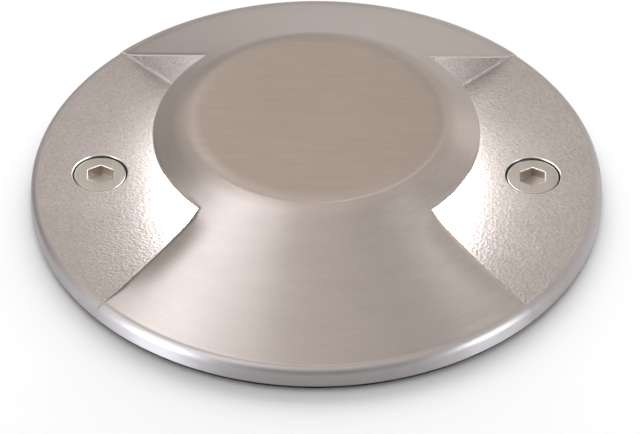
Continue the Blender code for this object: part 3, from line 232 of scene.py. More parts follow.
def fan_z(r):
    """Height of the turned outside at a radius, with its roundings."""
    if r <= SHOULDER_ARC[0][0]:
        return CAP_H
    for arc in (SHOULDER_ARC, FOOT_ARC):
        if arc[0][0] <= r <= arc[-1][0]:
            return float(np.interp(r, [p[0] for p in arc], [p[1] for p in arc]))
    return cone_z(r) if r < FOOT_ARC[0][0] else RIM_H


def fan_angles(start):
    """Angles of the fan's columns after the one that starts it."""
    return [start + (RIGHT_ANGLE - start) * share for share in FAN_SHARES]


def floor_columns(end):
    """(angle, height) columns of the flat floor before the fillet that starts at an angle."""
    return [(end * j / N_FLOOR, FLOOR) for j in range(N_FLOOR)]


def wall_round(r, rounds):
    """Rounding of a fan's edge at a radius."""
    lip, near, far = rounds
    return (lip + (near - lip) * ease((r - LIP_R) / NEAR_REACH)
            + (far - near) * ease((r - FAR_FROM_R) / FAR_REACH))


def fan_drop(r, rounds):
    """How far the front fan falls at its edges, at a radius."""
    if rounds is not FRONT_ROUNDS:
        return 0.0
    return CROWN_DROP * ease((r - LIP_R) / CROWN_GROWTH) * (1 - ease((r - CROWN_FADE_R) / CROWN_FADE))


def section(r, rounds):
    """(angle, height) columns of one ring from the pocket's middle to the fan's middle."""
    drop = fan_drop(r, rounds)
    top = fan_z(r) - drop
    least_wall, slack = 0.02, 0.98
    height = max(top - FLOOR, least_wall)
    lean = 1 - math.sin(DRAFT)
    fit = min(1.0, height / ((FILLET + wall_round(r, rounds)) * lean) * slack)
    fillet, edge = FILLET * fit, wall_round(r, rounds) * fit
    c, s = math.cos(DRAFT), math.sin(DRAFT)
    low = [(-fillet * lean / c + fillet * math.cos(a), FLOOR + fillet + fillet * math.sin(a))
           for a in np.linspace(-RIGHT_ANGLE, -DRAFT, N_FILLET + 1)]
    centre = ((edge + (height - edge) * s) / c, top - edge)
    high = [(centre[0] + edge * math.cos(a), centre[1] + edge * math.sin(a))
            for a in np.linspace(math.pi - DRAFT, RIGHT_ANGLE, N_EDGE + 1)]
    low_z, high_z = low[-1][1], high[0][1]
    lip_z = LIP_NOSE if r <= LIP_R else low_z + (high_z - low_z) * HIGH_WALL_FROM
    levels = list(np.linspace(low_z, lip_z, N_WALL_LOW + 1)[1:])
    levels += list(np.linspace(lip_z, high_z, N_WALL_HIGH + 1)[1:-1])
    wall = [((z - FLOOR) * math.tan(DRAFT), z) for z in levels]
    columns = [(HALF_ANGLE + math.asin(side / r), z) for side, z in low + wall + high]
    start = columns[-1][0]
    fan = []
    for angle in fan_angles(start):
        nearness = max(0.0, 1 - (angle - start) * r / CROWN_WIDTH)
        fan.append((angle, top + drop * (1 - nearness * nearness)))
    return floor_columns(columns[0][0]) + columns + fan


class Quarter:
    """Grid patches of the cover's quarter between +X and +Y."""

    def __init__(self):
        self.points = []
        self.faces = []
        self.kinds = []

    def add(self, r, angle, z):
        """New point at a radius, angle and height, given back as its number."""
        self.points.append((r * math.cos(angle), r * math.sin(angle), z))
        return len(self.points) - 1

    def ring(self, r, columns):
        """Row of points from (angle, height) columns."""
        return [self.add(r, angle, z) for angle, z in columns]

    def level(self, r, angles, z):
        """Row of points at one height."""
        return [self.add(r, angle, z) for angle in angles]

    def strip(self, one, two, kinds):
        """Quads between two rows, in one material or in one for each column."""
        for j in range(len(one) - 1):
            self.faces.append((one[j], one[j + 1], two[j + 1], two[j]))
            self.kinds.append(kinds if isinstance(kinds, int) else kinds[j])

    def sheet(self, rows, kind):
        """Strips between each row and the next."""
        for one, two in zip(rows, rows[1:]):
            self.strip(one, two, kind)

    def close(self, row, z, kind):
        """Triangles from a row to one point on the axis."""
        middle = self.add(0, 0, z)
        for one, two in zip(row, row[1:]):
            self.faces.append((one, two, middle))
            self.kinds.append(kind)

    def zip_rows(self, one, one_angles, two, two_angles, kind):
        """Triangles between two rows with the same ends and unlike columns."""
        i = j = 0
        while i < len(one) - 1 or j < len(two) - 1:
            two_is_done = j == len(two) - 1
            if two_is_done or (i < len(one) - 1 and one_angles[i + 1] <= two_angles[j + 1]):
                self.faces.append((one[i], one[i + 1], two[j]))
                i += 1
            else:
                self.faces.append((one[i], two[j + 1], two[j]))
                j += 1
            self.kinds.append(kind)


def add_outside(q, rounds):
    """Rows of the pocket's floor and wall and of the fan, from the lip out to the rim."""
    kinds = [CAST] * I_EDGE + [BRUSHED] * (N_COLUMNS - 1 - I_EDGE)
    rows = [q.ring(r, section(r, rounds)) for r in OUTSIDE_RADII]
    for one, two in zip(rows, rows[1:]):
        q.strip(two, one, kinds)
    return rows


def rim_side_r(z):
    """Radius of the tapered rim side at a height."""
    return RIM_TOP_R + RIM_TAPER * (RIM_H - z) / RIM_H


def add_underside(q, columns, previous):
    """Rim edge, rim side, seat ring, skirt and press ring, whose last row is given back."""
    angles = [angle for angle, _ in columns]
    rows = []
    for step in range(RIM_STEPS + 1):
        tilt = RIGHT_ANGLE * (1 - step / RIM_STEPS)
        out, up = RIM_ROUND * (math.cos(tilt) - 1), RIM_ROUND * (math.sin(tilt) - 1)
        rows.append([q.add(rim_side_r(z - RIM_ROUND) + out, angle, z + up) for angle, z in columns])
    rows += [q.level(rim_side_r(z), angles, z) for z in RIM_SIDE_LEVELS]
    rows += [q.level(r, angles, z) for r, z in SEAT_RING]
    turned_from = len(rows) - 2
    for index, row in enumerate(rows):
        q.strip(row, previous, BRUSHED if index < turned_from else MACHINED)
        previous = row
    for r, z in UNDERSIDE:
        row = q.level(r, angles, z)
        q.strip(row, previous, MACHINED if z < 0 else CAST)
        previous = row
    return previous


def lip_underside_row(q, corner, r, end, z):
    """Row under the lip, from the wall's corner to the pocket's middle."""
    return [corner] + [q.add(r, end * (1 - j / N_FLOOR), z) for j in range(1, N_FLOOR + 1)]


def add_window(q, lip_columns, lip_row, press_row, press_angles):
    """Light window under the lip and the wall inside it, down to the press ring.

    Gives back the innermost rows under the lip and on the wall's top, and the angle where they meet.
    """
    low_columns = lip_columns[:I_LIP + 1]
    tunnel = [lip_row[:I_LIP + 1]]
    under = [lip_underside_row(q, lip_row[I_LIP], LIP_R, lip_columns[I_LIP][0], LIP_NOSE)]
    wall_low = low_columns[I_WALL][1]
    for r in WINDOW_RADII:
        under_z = LIP_UNDER + (LIP_NOSE - LIP_UNDER) * (r - WINDOW_R) / (LIP_R - WINDOW_R)
        squeeze = (under_z - wall_low) / (LIP_NOSE - wall_low)
        columns = [(HALF_ANGLE + math.asin(math.sin(angle - HALF_ANGLE) * LIP_R / r),
                    z if z <= wall_low else wall_low + (z - wall_low) * squeeze)
                   for angle, z in low_columns]
        columns[:I_FILLET] = floor_columns(columns[I_FILLET][0])
        tunnel.append(q.ring(r, columns))
        under.append(lip_underside_row(q, tunnel[-1][-1], r, columns[-1][0], under_z))
    q.sheet(tunnel, CAST)
    q.sheet(under, CAST)

    wall = [[tunnel[-1][index]] + q.level(WINDOW_R, fan_angles(columns[index][0]), columns[index][1])
            for index in range(I_FILLET, I_LIP + 1)]
    q.sheet(wall, MACHINED)
    angles = [angle for angle, _ in columns[:I_FILLET + 1]] + fan_angles(columns[I_FILLET][0])
    foot = q.level(WINDOW_R, angles, PRESS_LOW)
    q.strip(foot, tunnel[-1][:I_FILLET] + wall[0], MACHINED)
    q.zip_rows(foot, angles, press_row, press_angles, MACHINED)
    return under, wall[-1], columns[-1][0]


def crown_angles(corner):
    """Angles over the pocket, whose end is given, and over the fan."""
    return [corner * j / N_FLOOR for j in range(N_FLOOR + 1)] + fan_angles(corner)


def add_crown(q, under_row, wall_row, corner):
    """Inside of the crown, over the lip's underside and the inner wall."""
    rows = [under_row[::-1] + wall_row[1:]]
    rows += [q.level(r, crown_angles(corner), CEILING) for r in CROWN_RADII]
    q.sheet(rows, CAST)
    q.close(rows[-1], CEILING, CAST)


def add_lip_face(q, lip_round, columns, lip_row, under_row):
    """Lip face, whose top edge is rounded, more so at the pocket's corners; gives back its top row."""
    rows = [under_row[::-1]]
    top = fan_z(LIP_R)
    edge_z = columns[I_EDGE][1]
    for index in range(I_LIP + 1, I_FAN + 1):
        end, z = columns[index]
        row = []
        for j in range(N_FLOOR):
            u = j / N_FLOOR
            radius = LIP_EDGE + (lip_round - LIP_EDGE) * ease((u - CORNER_FROM) / (1 - CORNER_FROM))
            if index <= I_EDGE:
                r = LIP_R
                face_top = top - radius * (top - edge_z) / lip_round
                height = LIP_NOSE + (z - LIP_NOSE) / (edge_z - LIP_NOSE) * (face_top - LIP_NOSE)
            else:
                turn = (index - I_EDGE) / N_EDGE * RIGHT_ANGLE
                r = LIP_R - radius * min(1.0, (1 - u) / CORNER_SHARE) * (1 - math.cos(turn))
                height = top - radius * (top - z) / lip_round + (fan_z(r) - top) * math.sin(turn)
            row.append(q.add(r, end * u, height))
        rows.append(row + [lip_row[index]])
    for index, (one, two) in enumerate(zip(rows, rows[1:])):
        q.strip(one, two, CAST if index < N_WALL_HIGH else BRUSHED)
    return rows[-1]


def add_cap(q, first_row, corner):
    """Shoulder and flat cap, up to the axis."""
    rows = [first_row] + [q.level(r, crown_angles(corner), fan_z(r)) for r in CAP_RADII]
    q.sheet(rows, BRUSHED)
    q.close(rows[-1], CAP_H, BRUSHED)


def build_quarter(rounds):
    """One quarter of the cover, whose fan's edges have the given roundings."""
    q = Quarter()
    outside = add_outside(q, rounds)
    rim_columns = section(OUTSIDE_RADII[-1], rounds)
    press_row = add_underside(q, rim_columns, outside[-1])
    lip_row, lip_columns = outside[0], section(LIP_R, rounds)
    under, wall_row, corner = add_window(q, lip_columns, lip_row, press_row, [a for a, _ in rim_columns])
    add_crown(q, under[-1], wall_row, corner)
    edge_row = add_lip_face(q, rounds[0], lip_columns, lip_row, under[0])
    add_cap(q, edge_row + lip_row[I_FAN + 1:], lip_columns[I_FAN][0])
    return q


def link(obj):
    """Put a new object in the scene."""
    bpy.context.scene.collection.objects.link(obj)
    return obj


def mesh_object(name, points, faces, kinds=None, lift=PAVING):
    """Object from points in millimetres, raised by lift."""
    mesh = bpy.data.meshes.new(name)
    mesh.from_pydata([(x * MM, y * MM, (z + lift) * MM) for x, y, z in points], [], faces)
    if kinds:
        mesh.polygons.foreach_set("material_index", kinds)
    return link(bpy.data.objects.new(name, mesh))


def clean(obj, distance=JOIN):
    """Join points closer than a distance, drop faces without area and turn all faces outward."""
    shape = bmesh.new()
    shape.from_mesh(obj.data)
    bmesh.ops.remove_doubles(shape, verts=shape.verts, dist=distance)
    bmesh.ops.dissolve_degenerate(shape, edges=shape.edges, dist=distance)
    bmesh.ops.recalc_face_normals(shape, faces=shape.faces)
    shape.to_mesh(obj.data)
    shape.free()


def smooth(obj, degrees=SHARP_FROM):
    """Shade smooth, with edges sharper than an angle left sharp."""
    obj.data.polygons.foreach_set("use_smooth", [True] * len(obj.data.polygons))
    obj.data.set_sharp_from_angle(angle=math.radians(degrees))


def boolean(obj, tools, operation):
    """Add or cut the tools one by one, then remove them."""
    for tool in tools:
        modifier = obj.modifiers.new("shape", "BOOLEAN")
        modifier.operation = operation
        modifier.solver = "EXACT"
        modifier.object = tool
        bpy.context.view_layer.update()
        made = bpy.data.meshes.new_from_object(obj.evaluated_get(bpy.context.evaluated_depsgraph_get()))
        obj.modifiers.clear()
        obj.data = made
    for tool in tools:
        bpy.data.objects.remove(tool)


def grid_faces(rows, across, wrap=False):
    """Quads of a grid of points whose columns close round; its rows do too with wrap."""
    faces = []
    for i in range(rows if wrap else rows - 1):
        here, there = i * across, (i + 1) % rows * across
        for k in range(across):
            m = (k + 1) % across
            faces.append((here + k, here + m, there + m, there + k))
    return faces


def circle(radius, segments, x=0.0):
    """Points round a centre on the X axis."""
    return [(x + radius * math.cos(math.tau * k / segments), radius * math.sin(math.tau * k / segments))
            for k in range(segments)]


def lathe(name, profile, x=0.0, segments=96, lift=PAVING, kind=BRUSHED):
    """Turned solid from (radius, height) points, listed once round its section."""
    points = [(*place, z) for r, z in profile for place in circle(r, segments, x)]
    faces = grid_faces(len(profile), segments, wrap=True)
    obj = mesh_object(name, points, faces, [kind] * len(faces), lift)
    clean(obj, FINE_JOIN)
    return obj


def make_core(start, end, steps=24):
    """Cutter for the hollow under part of a fan, between two angles in degrees."""
    inner, outer = PRESS_R + CORE_INSET, SKIRT_IN - CORE_INSET
    drop = WALL * math.hypot(1, SLOPE)
    profile = [(inner, CORE_LOW), (outer, CORE_LOW)]
    profile += [(r, cone_z(r) - drop) for r in (outer, inner)]
    points = []
    for step in range(steps + 1):
        a = math.radians(start + (end - start) * step / steps)
        points += [(r * math.cos(a), r * math.sin(a), z) for r, z in profile]
    count = len(profile)
    faces = grid_faces(steps + 1, count)
    faces += [tuple(reversed(range(count))), tuple(steps * count + j for j in range(count))]
    obj = mesh_object("core", points, faces, [CAST] * len(faces))
    clean(obj)
    return obj


def make_rib(number):
    """Radial rib from the press ring to the skirt."""
    angle = math.tau * number / RIBS
    c, s = math.cos(angle), math.sin(angle)
    inner, outer, half = PRESS_R - RIB_LAP_IN, SKIRT_R - RIB_LAP_OUT, RIB_HALF_WIDTH
    points = [(x * c - y * s, x * s + y * c, z) for z in (RIB_LOW, CAST_MIDDLE)
              for x, y in ((inner, -half), (outer, -half), (outer, half), (inner, half))]
    faces = [(3, 2, 1, 0), (4, 5, 6, 7), (0, 1, 5, 4), (1, 2, 6, 5), (2, 3, 7, 6), (3, 0, 4, 7)]
    return mesh_object("bar", points, faces, [CAST] * len(faces))


def make_cover():
    """Cover casting: four quarters, cored out, with ribs, bosses and screw holes."""
    points, faces, kinds = [], [], []
    for sy, rounds in ((1, BACK_ROUNDS), (-1, FRONT_ROUNDS)):
        q = build_quarter(rounds)
        for sx in (1, -1):
            base = len(points)
            points += [(x * sx, y * sy, z) for x, y, z in q.points]
            for face in q.faces:
                face = tuple(base + i for i in face)
                faces.append(face if sx * sy > 0 else face[::-1])
            kinds += q.kinds
    cover = mesh_object("cover_casting", points, faces, kinds)
    clean(cover)
    cores = [make_core(middle + start, middle + end) for middle in (90, 270)
             for start, end in ((-CORE_REACH, -WEB_HALF_ANGLE), (WEB_HALF_ANGLE, CORE_REACH))]
    boolean(cover, cores, "DIFFERENCE")

    boss = [(0, SEAT), (BOSS_R, SEAT), (BOSS_R, CAST_MIDDLE), (0, CAST_MIDDLE)]
    flare = [(BORE_R + BORE_FLARE - BORE_FLARE * math.cos(a), FLOOR - BORE_FLARE + BORE_FLARE * math.sin(a))
             for a in np.linspace(0, RIGHT_ANGLE, EDGE_POINTS)]
    bore = [(0, BORE_LOW), (BORE_R, BORE_LOW), *flare, (BORE_R + BORE_FLARE, BORE_CUT_TOP), (0, BORE_CUT_TOP)]
    low, high = SHANK_CUT
    shank = [(0, low), (SHANK_HOLE_R, low), (SHANK_HOLE_R, high), (0, high)]
    places = (-SCREW_X, SCREW_X)
    ribs = [make_rib(number) for number in range(RIBS)]
    boolean(cover, ribs + [lathe("boss", boss, x, segments=64, kind=CAST) for x in places], "UNION")
    holes = [lathe("bore", bore, x, kind=MACHINED) for x in places]
    holes += [lathe("shank", shank, x, segments=48, kind=MACHINED) for x in places]
    boolean(cover, holes, "DIFFERENCE")
    clean(cover, FINE_JOIN)
    smooth(cover)
    cover.modifiers.new("normals", "WEIGHTED_NORMAL").keep_sharp = True
    return cover


def make_socket(x):
    """Cutter for a hexagon socket with a bevelled mouth and a drilled tip."""
    corner = SOCKET_HALF_WIDTH / math.cos(math.pi / 6)
    mouth = corner + SOCKET_BEVEL
    over, touch = 0.4, 0.001
    levels = [(mouth, over), (mouth, touch), (corner, -SOCKET_BEVEL), (corner, -SOCKET_DEPTH)]
    points = []
    for r, z in levels:
        points += [(x + r * math.cos(a), r * math.sin(a), HEAD_TOP + z)
                   for a in (math.radians(90 + 60 * k) for k in range(6))]
    tip = len(points)
    points.append((x, 0, HEAD_TOP - SOCKET_TIP))
    faces = grid_faces(len(levels), 6)
    faces.append(tuple(range(5, -1, -1)))
    faces += [(tip - 6 + k, tip - 6 + (k + 1) % 6, tip) for k in range(6)]
    socket = mesh_object("socket", points, faces, [1] * len(faces))
    clean(socket, FINE_JOIN)
    return socket


def make_screw(side, name):
    """Head and neck of a socket head screw, with a rounded head edge and a hexagon socket."""
    low, neck_low = HEAD_TOP - HEAD_DEPTH, HEAD_TOP - NECK_DEPTH
    profile = [(0, HEAD_TOP)]
    profile += [(HEAD_R - HEAD_EDGE + HEAD_EDGE * math.sin(a), HEAD_TOP - HEAD_EDGE + HEAD_EDGE * math.cos(a))
                for a in np.linspace(0, RIGHT_ANGLE, EDGE_POINTS)]
    profile += [(HEAD_R, low + HEAD_CHAMFER), (HEAD_R - HEAD_CHAMFER, low), (SHANK_R, low),
                (SHANK_R, neck_low), (0, neck_low)]
    screw = lathe("screw_" + name, profile, side * SCREW_X)
    boolean(screw, [make_socket(side * SCREW_X)], "DIFFERENCE")
    smooth(screw)
    return screw


def thread_radius(z, turn, bottom, top):
    """Radius of the thread at a height and a share of a turn, faded out at both ends."""
    root = SHANK_R - THREAD_DEPTH
    ridge = min(abs((z / PITCH - turn) % 1.0 - 0.5) * THREAD_FLANK, 1.0)
    end = min(1.0, (z - bottom) / THREAD_FADE, (top - z) / THREAD_FADE)
    r = SHANK_R - THREAD_DEPTH * (1 - (1 - ridge) * end) if end > 0 else root
    return min(r, POINT_R + (z - bottom)) if z - bottom < POINT_HEIGHT else r


def make_thread(side, name, around=36, per_turn=8):
    """Shank with a one-millimetre thread, closed at both ends."""
    low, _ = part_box("cover_screw_" + name)
    bottom, top = low.z / MM - PAVING, HEAD_TOP - THREAD_FROM
    count = int((top - bottom) * per_turn)
    points = []
    for i in range(count + 1):
        z = bottom + (top - bottom) * i / count
        for k in range(around):
            r, a = thread_radius(z, k / around, bottom, top), math.tau * k / around
            points.append((side * SCREW_X + r * math.cos(a), r * math.sin(a), z))
    faces = grid_faces(count + 1, around)
    faces += [tuple(reversed(range(around))), tuple(count * around + k for k in range(around))]
    thread = mesh_object("thread_" + name, points, faces)
    smooth(thread, THREAD_SHARP_FROM)
    return thread


# Materials

# Most noise values lie between these two
NOISE_LOW, NOISE_HIGH = 0.3, 0.7

# A Mix node's first and second input and its output, for each kind of data
MIX_SOCKETS = {"FLOAT": (2, 3, 0), "VECTOR": (4, 5, 1), "RGBA": (6, 7, 2)}


class Graph:
    """Short calls for building a tree of shader nodes."""

    def __init__(self, tree):
        self.tree = tree

    def node(self, kind, **settings):
        """New node with its settings."""
        made = self.tree.nodes.new(kind)
        for key, value in settings.items():
            setattr(made, key, value)
        return made

    def feed(self, value, socket):
        """Link a socket, or set it where the value is a plain one."""
        if isinstance(value, bpy.types.NodeSocket):
            self.tree.links.new(value, socket)
        else:
            socket.default_value = value

    def math(self, operation, *values):
        """Result of a math node."""
        made = self.node("ShaderNodeMath", operation=operation)
        for value, socket in zip(values, made.inputs):
            self.feed(value, socket)
        return made.outputs[0]

    def blend(self, *parts):
        """Sum of (value, share) pairs."""
        scaled = [self.math("MULTIPLY", value, share) for value, share in parts]
        total = scaled[0]
        for part in scaled[1:]:
            total = self.math("ADD", total, part)
        return total

    def place(self):
        """Place in the object's own coordinates, in metres."""
        return self.node("ShaderNodeTexCoord").outputs["Object"]

    def axes(self, vector):
        """The three parts of a vector."""
        split = self.node("ShaderNodeSeparateXYZ")
        self.feed(vector, split.inputs[0])
        return split.outputs[0], split.outputs[1], split.outputs[2]

    def combine(self, *values):
        """Vector from two or three parts."""
        made = self.node("ShaderNodeCombineXYZ")
        for value, socket in zip(values, made.inputs):
            self.feed(value, socket)
        return made.outputs[0]

    def radius(self, x, y):
        """Distance from the object's own axis."""
        return self.math("SQRT", self.math("ADD", self.math("MULTIPLY", x, x), self.math("MULTIPLY", y, y)))

    def noise(self, vector, scale, detail, rough=0.55):
        """Cloudy noise round one half."""
        made = self.node("ShaderNodeTexNoise")
        for key, value in (("Vector", vector), ("Scale", scale), ("Detail", detail), ("Roughness", rough)):
            self.feed(value, made.inputs[key])
        return made.outputs["Fac"]

    def streaks(self, axes, scales, detail, rough=0.55):
        """Noise with its own scale along each axis."""
        stretched = [self.math("MULTIPLY", axis, scale) for axis, scale in zip(axes, scales)]
        return self.noise(self.combine(*stretched), scale=1.0, detail=detail, rough=rough)

    def ramp(self, factor, stops):
        """Colour from (factor, colour) stops."""
        made = self.node("ShaderNodeValToRGB")
        elements = made.color_ramp.elements
        while len(elements) < len(stops):
            elements.new(0.5)
        for element, (place, colour) in zip(elements, stops):
            element.position = place
            element.color = (*colour, 1.0)
        self.feed(factor, made.inputs[0])
        return made.outputs[0]

    def vary(self, factor, colour, amount):
        """Colour that swings by a share to both sides."""
        low = tuple(max(0.0, c * (1 - amount)) for c in colour)
        high = tuple(min(1.0, c * (1 + amount)) for c in colour)
        return self.ramp(factor, [(NOISE_LOW, low), (NOISE_HIGH, high)])

    def spread(self, factor, low, high, start=NOISE_LOW, end=NOISE_HIGH, kind="LINEAR"):
        """Values from low to high where the factor goes from start to end."""
        made = self.node("ShaderNodeMapRange", interpolation_type=kind)
        for value, socket in zip((factor, start, end, low, high), made.inputs):
            self.feed(value, socket)
        return made.outputs[0]

    def mix(self, kind, factor, one, two):
        """Mixture of two numbers, vectors or colours."""
        made = self.node("ShaderNodeMix", data_type=kind)
        first, second, result = MIX_SOCKETS[kind]
        for value, index in ((factor, 0), (one, first), (two, second)):
            self.feed(value, made.inputs[index])
        return made.outputs[result]

    def bump(self, height, distance, strength):
        """Normal of a fine relief, whose full height is the distance."""
        made = self.node("ShaderNodeBump")
        for key, value in (("Strength", strength), ("Distance", distance), ("Height", height)):
            self.feed(value, made.inputs[key])
        return made.outputs[0]


class Surface(Graph):
    """Material with one Principled shader."""

    def __init__(self, name):
        self.material = bpy.data.materials.new(name)
        self.material.use_nodes = True
        super().__init__(self.material.node_tree)
        self.shader = self.tree.nodes["Principled BSDF"]

    def set(self, **values):
        """Feed the shader's inputs, named with underscores, and give back the material."""
        for key, value in values.items():
            self.feed(value, self.shader.inputs[key.replace("_", " ")])
        return self.material


# Brushed steel is warm on the cap, plainer on the slope and plain on the rim. It changes between these
# radii, in metres, and its brushing runs straight on the cap's top skin, which is given in millimetres.
CAP_BLEND = (0.0235, 0.0262)
SLOPE_BLEND = (0.0220, 0.0275)
RIM_BLEND = (0.0530, 0.0546)
CAP_SKIN = 0.35
COOL_LIGHT = [(NOISE_LOW, (0.84, 0.90, 1.0)), (NOISE_HIGH, (0.86, 0.92, 1.0))]
STAGE_WHITE = (0.88, 0.88, 0.885)
WARM_STEEL = [(0.30, (0.41, 0.330, 0.277)), (0.50, (0.452, 0.367, 0.310)), (0.70, (0.497, 0.407, 0.347))]
PLAIN_STEEL = [(0.30, (0.45, 0.416, 0.412)), (0.50, (0.50, 0.463, 0.459)), (0.70, (0.55, 0.511, 0.507))]
CAST_STEEL = [(0.34, (0.305, 0.262, 0.235)), (0.50, (0.360, 0.310, 0.279)), (0.66, (0.425, 0.366, 0.329))]


def brushed_steel():
    """Turned brushing on the slope and straight brushing on the flat cap."""
    g = Surface("brushed_steel")
    position = g.place()
    x, y, z = g.axes(position)
    radius = g.radius(x, y)
    safe = g.math("MAXIMUM", radius, 0.001)
    ux, uy = g.math("DIVIDE", x, safe), g.math("DIVIDE", y, safe)
    on_top = g.math("GREATER_THAN", z, (PAVING + CAP_H - CAP_SKIN) * MM)
    on_cap = g.math("MULTIPLY", on_top, g.spread(radius, 1.0, 0.0, *CAP_BLEND))
    lines = g.mix("FLOAT", on_cap, g.streaks((radius, ux, uy), scales=(2600, 14, 14), detail=3.0, rough=0.6),
                  g.streaks((x, y), scales=(160, 3400), detail=3.0, rough=0.6))
    bands = g.mix("FLOAT", on_cap, g.streaks((radius, ux, uy), scales=(500, 3, 3), detail=2.0),
                  g.streaks((x, y), scales=(60, 700), detail=2.0))
    cloud = g.noise(position, scale=38.0, detail=3.0)
    tone = g.blend((lines, 0.35), (bands, 0.25), (cloud, 0.4))
    slope = g.spread(radius, 0.0, 1.0, *SLOPE_BLEND)
    rim = g.spread(radius, 0.0, 1.0, *RIM_BLEND)
    plainness = g.blend((slope, 0.35), (rim, 0.65))
    colour = g.mix("RGBA", plainness, g.ramp(tone, WARM_STEEL), g.ramp(tone, PLAIN_STEEL))
    worn = g.spread(g.blend((lines, 0.4), (cloud, 0.6)), low=0.31, high=0.41)
    roughness = g.blend((worn, 1.0), (rim, 0.10))
    # Reflections spread across the brushing: down the slope, and along Y on the cap
    across = g.mix("VECTOR", on_cap, g.combine(ux, uy, -1.0), (0.0, 1.0, 0.0))
    turned = g.node("ShaderNodeVectorTransform", vector_type="VECTOR", convert_from="OBJECT",
                    convert_to="WORLD")
    g.feed(across, turned.inputs[0])
    return g.set(Base_Color=colour, Metallic=1.0, Roughness=roughness, Anisotropic=0.8,
                 Tangent=turned.outputs[0], Normal=g.bump(lines, distance=0.000012, strength=0.6))


def cast_steel():
    """Grainy cast and blasted steel of the pockets."""
    g = Surface("cast_steel_grain")
    position = g.place()
    grain = g.noise(position, scale=2300.0, detail=2.0, rough=0.6)
    grit = g.node("ShaderNodeTexVoronoi", feature="F1")
    grit.inputs["Scale"].default_value = 1500.0
    g.feed(position, grit.inputs["Vector"])
    pits = g.noise(position, scale=1100.0, detail=2.0)
    cloud = g.noise(position, scale=90.0, detail=3.0)
    tone = g.blend((grain, 0.7), (pits, 0.15), (cloud, 0.15))
    height = g.blend((grain, 0.6), (grit.outputs["Distance"], 0.4))
    return g.set(Base_Color=g.ramp(tone, CAST_STEEL), Metallic=0.65,
                 Roughness=g.spread(cloud, low=0.46, high=0.58),
                 Normal=g.bump(height, distance=0.00020, strength=1.0))


def machined_steel(name, colour, roughness):
    """Turned metal with fine tool marks."""
    g = Surface(name)
    position = g.place()
    x, y, z = g.axes(position)
    marks = g.streaks((g.radius(x, y), z), scales=(2600, 2600), detail=2.0)
    cloud = g.noise(position, scale=140.0, detail=3.0)
    tone = g.blend((marks, 0.5), (cloud, 0.5))
    return g.set(Base_Color=g.vary(tone, colour, amount=0.14), Metallic=1.0,
                 Roughness=g.spread(tone, low=roughness - 0.05, high=roughness + 0.09),
                 Normal=g.bump(marks, distance=0.00001, strength=0.5))


def cast_metal(name, colour, roughness, scale=900.0):
    """Die-cast or pressed metal with a fine grain."""
    g = Surface(name)
    position = g.place()
    grain = g.noise(position, scale=scale, detail=4.0)
    cloud = g.noise(position, scale=70.0, detail=3.0)
    tone = g.blend((grain, 0.5), (cloud, 0.5))
    return g.set(Base_Color=g.vary(tone, colour, amount=0.16), Metallic=0.9,
                 Roughness=g.spread(tone, low=roughness - 0.08, high=roughness + 0.08),
                 Normal=g.bump(grain, distance=0.00006, strength=0.5))


def plastic(name, colour, roughness, grain=0.00003, vary=0.06, glow=0.0):
    """Moulded plastic or rubber with a fine texture, and cool white light from it if it glows."""
    g = Surface(name)
    position = g.place()
    fine = g.noise(position, scale=1500.0, detail=3.0)
    cloud = g.noise(position, scale=60.0, detail=3.0)
    tone = g.blend((fine, 0.4), (cloud, 0.6))
    if glow:
        g.set(Emission_Color=g.ramp(tone, COOL_LIGHT), Emission_Strength=glow)
    return g.set(Base_Color=g.vary(tone, colour, amount=vary),
                 Roughness=g.spread(tone, low=roughness - 0.06, high=roughness + 0.06),
                 Normal=g.bump(fine, distance=grain, strength=0.5))


def striped(name, colour, stripe):
    """Extruded lead insulation with a coloured stripe along one side."""
    g = Surface(name)
    facing = g.axes(g.node("ShaderNodeTexCoord").outputs["Normal"])[0]
    fine = g.noise(g.place(), scale=1200.0, detail=2.0)
    on_stripe = g.math("GREATER_THAN", facing, 0.35)
    body, band = g.vary(fine, colour, amount=0.08), g.vary(fine, stripe, amount=0.05)
    return g.set(Base_Color=g.mix("RGBA", on_stripe, body, band), Roughness=0.4,
                 Normal=g.bump(fine, distance=0.00002, strength=0.4))


def stage_white(name):
    """Matt white ground."""
    g = Surface(name)
    cloud = g.noise(g.place(), scale=8.0, detail=2.0)
    return g.set(Base_Color=g.vary(cloud, STAGE_WHITE, amount=0.004), Roughness=0.9, Specular_IOR_Level=0.0)


def soften_group():
    """Modifier that joins a faceted solid's loose faces and shades it smooth, up to an edge angle."""
    group = bpy.data.node_groups.new("soft_shading", "GeometryNodeTree")
    for in_out in ("INPUT", "OUTPUT"):
        group.interface.new_socket("Geometry", in_out=in_out, socket_type="NodeSocketGeometry")
    start = group.nodes.new("NodeGroupInput")
    end = group.nodes.new("NodeGroupOutput")
    merge = group.nodes.new("GeometryNodeMergeByDistance")
    merge.inputs["Distance"].default_value = 0.001 * MM
    normals = group.nodes.new("GeometryNodeSetMeshNormal")
    normals.mode = "SHARPNESS"
    normals.inputs["Remove Custom"].default_value = True
    angle = group.nodes.new("GeometryNodeInputMeshEdgeAngle")
    large = group.nodes.new("FunctionNodeCompare")
    large.operation = "GREATER_THAN"
    large.inputs[1].default_value = math.radians(CAD_SHARP_FROM)
    for source, socket in ((start, merge.inputs["Geometry"]), (merge, normals.inputs[0]),
                           (angle, large.inputs[0]), (large, normals.inputs["Edge Sharpness"]),
                           (normals, end.inputs[0])):
        group.links.new(source.outputs[0], socket)
    return group


# Fine pieces

cover = make_cover()
for material in (brushed_steel(), cast_steel(), machined_steel("machined_steel", (0.62, 0.60, 0.57), 0.28)):
    cover.data.materials.append(material)
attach(cover, "cover")
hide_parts("cover")

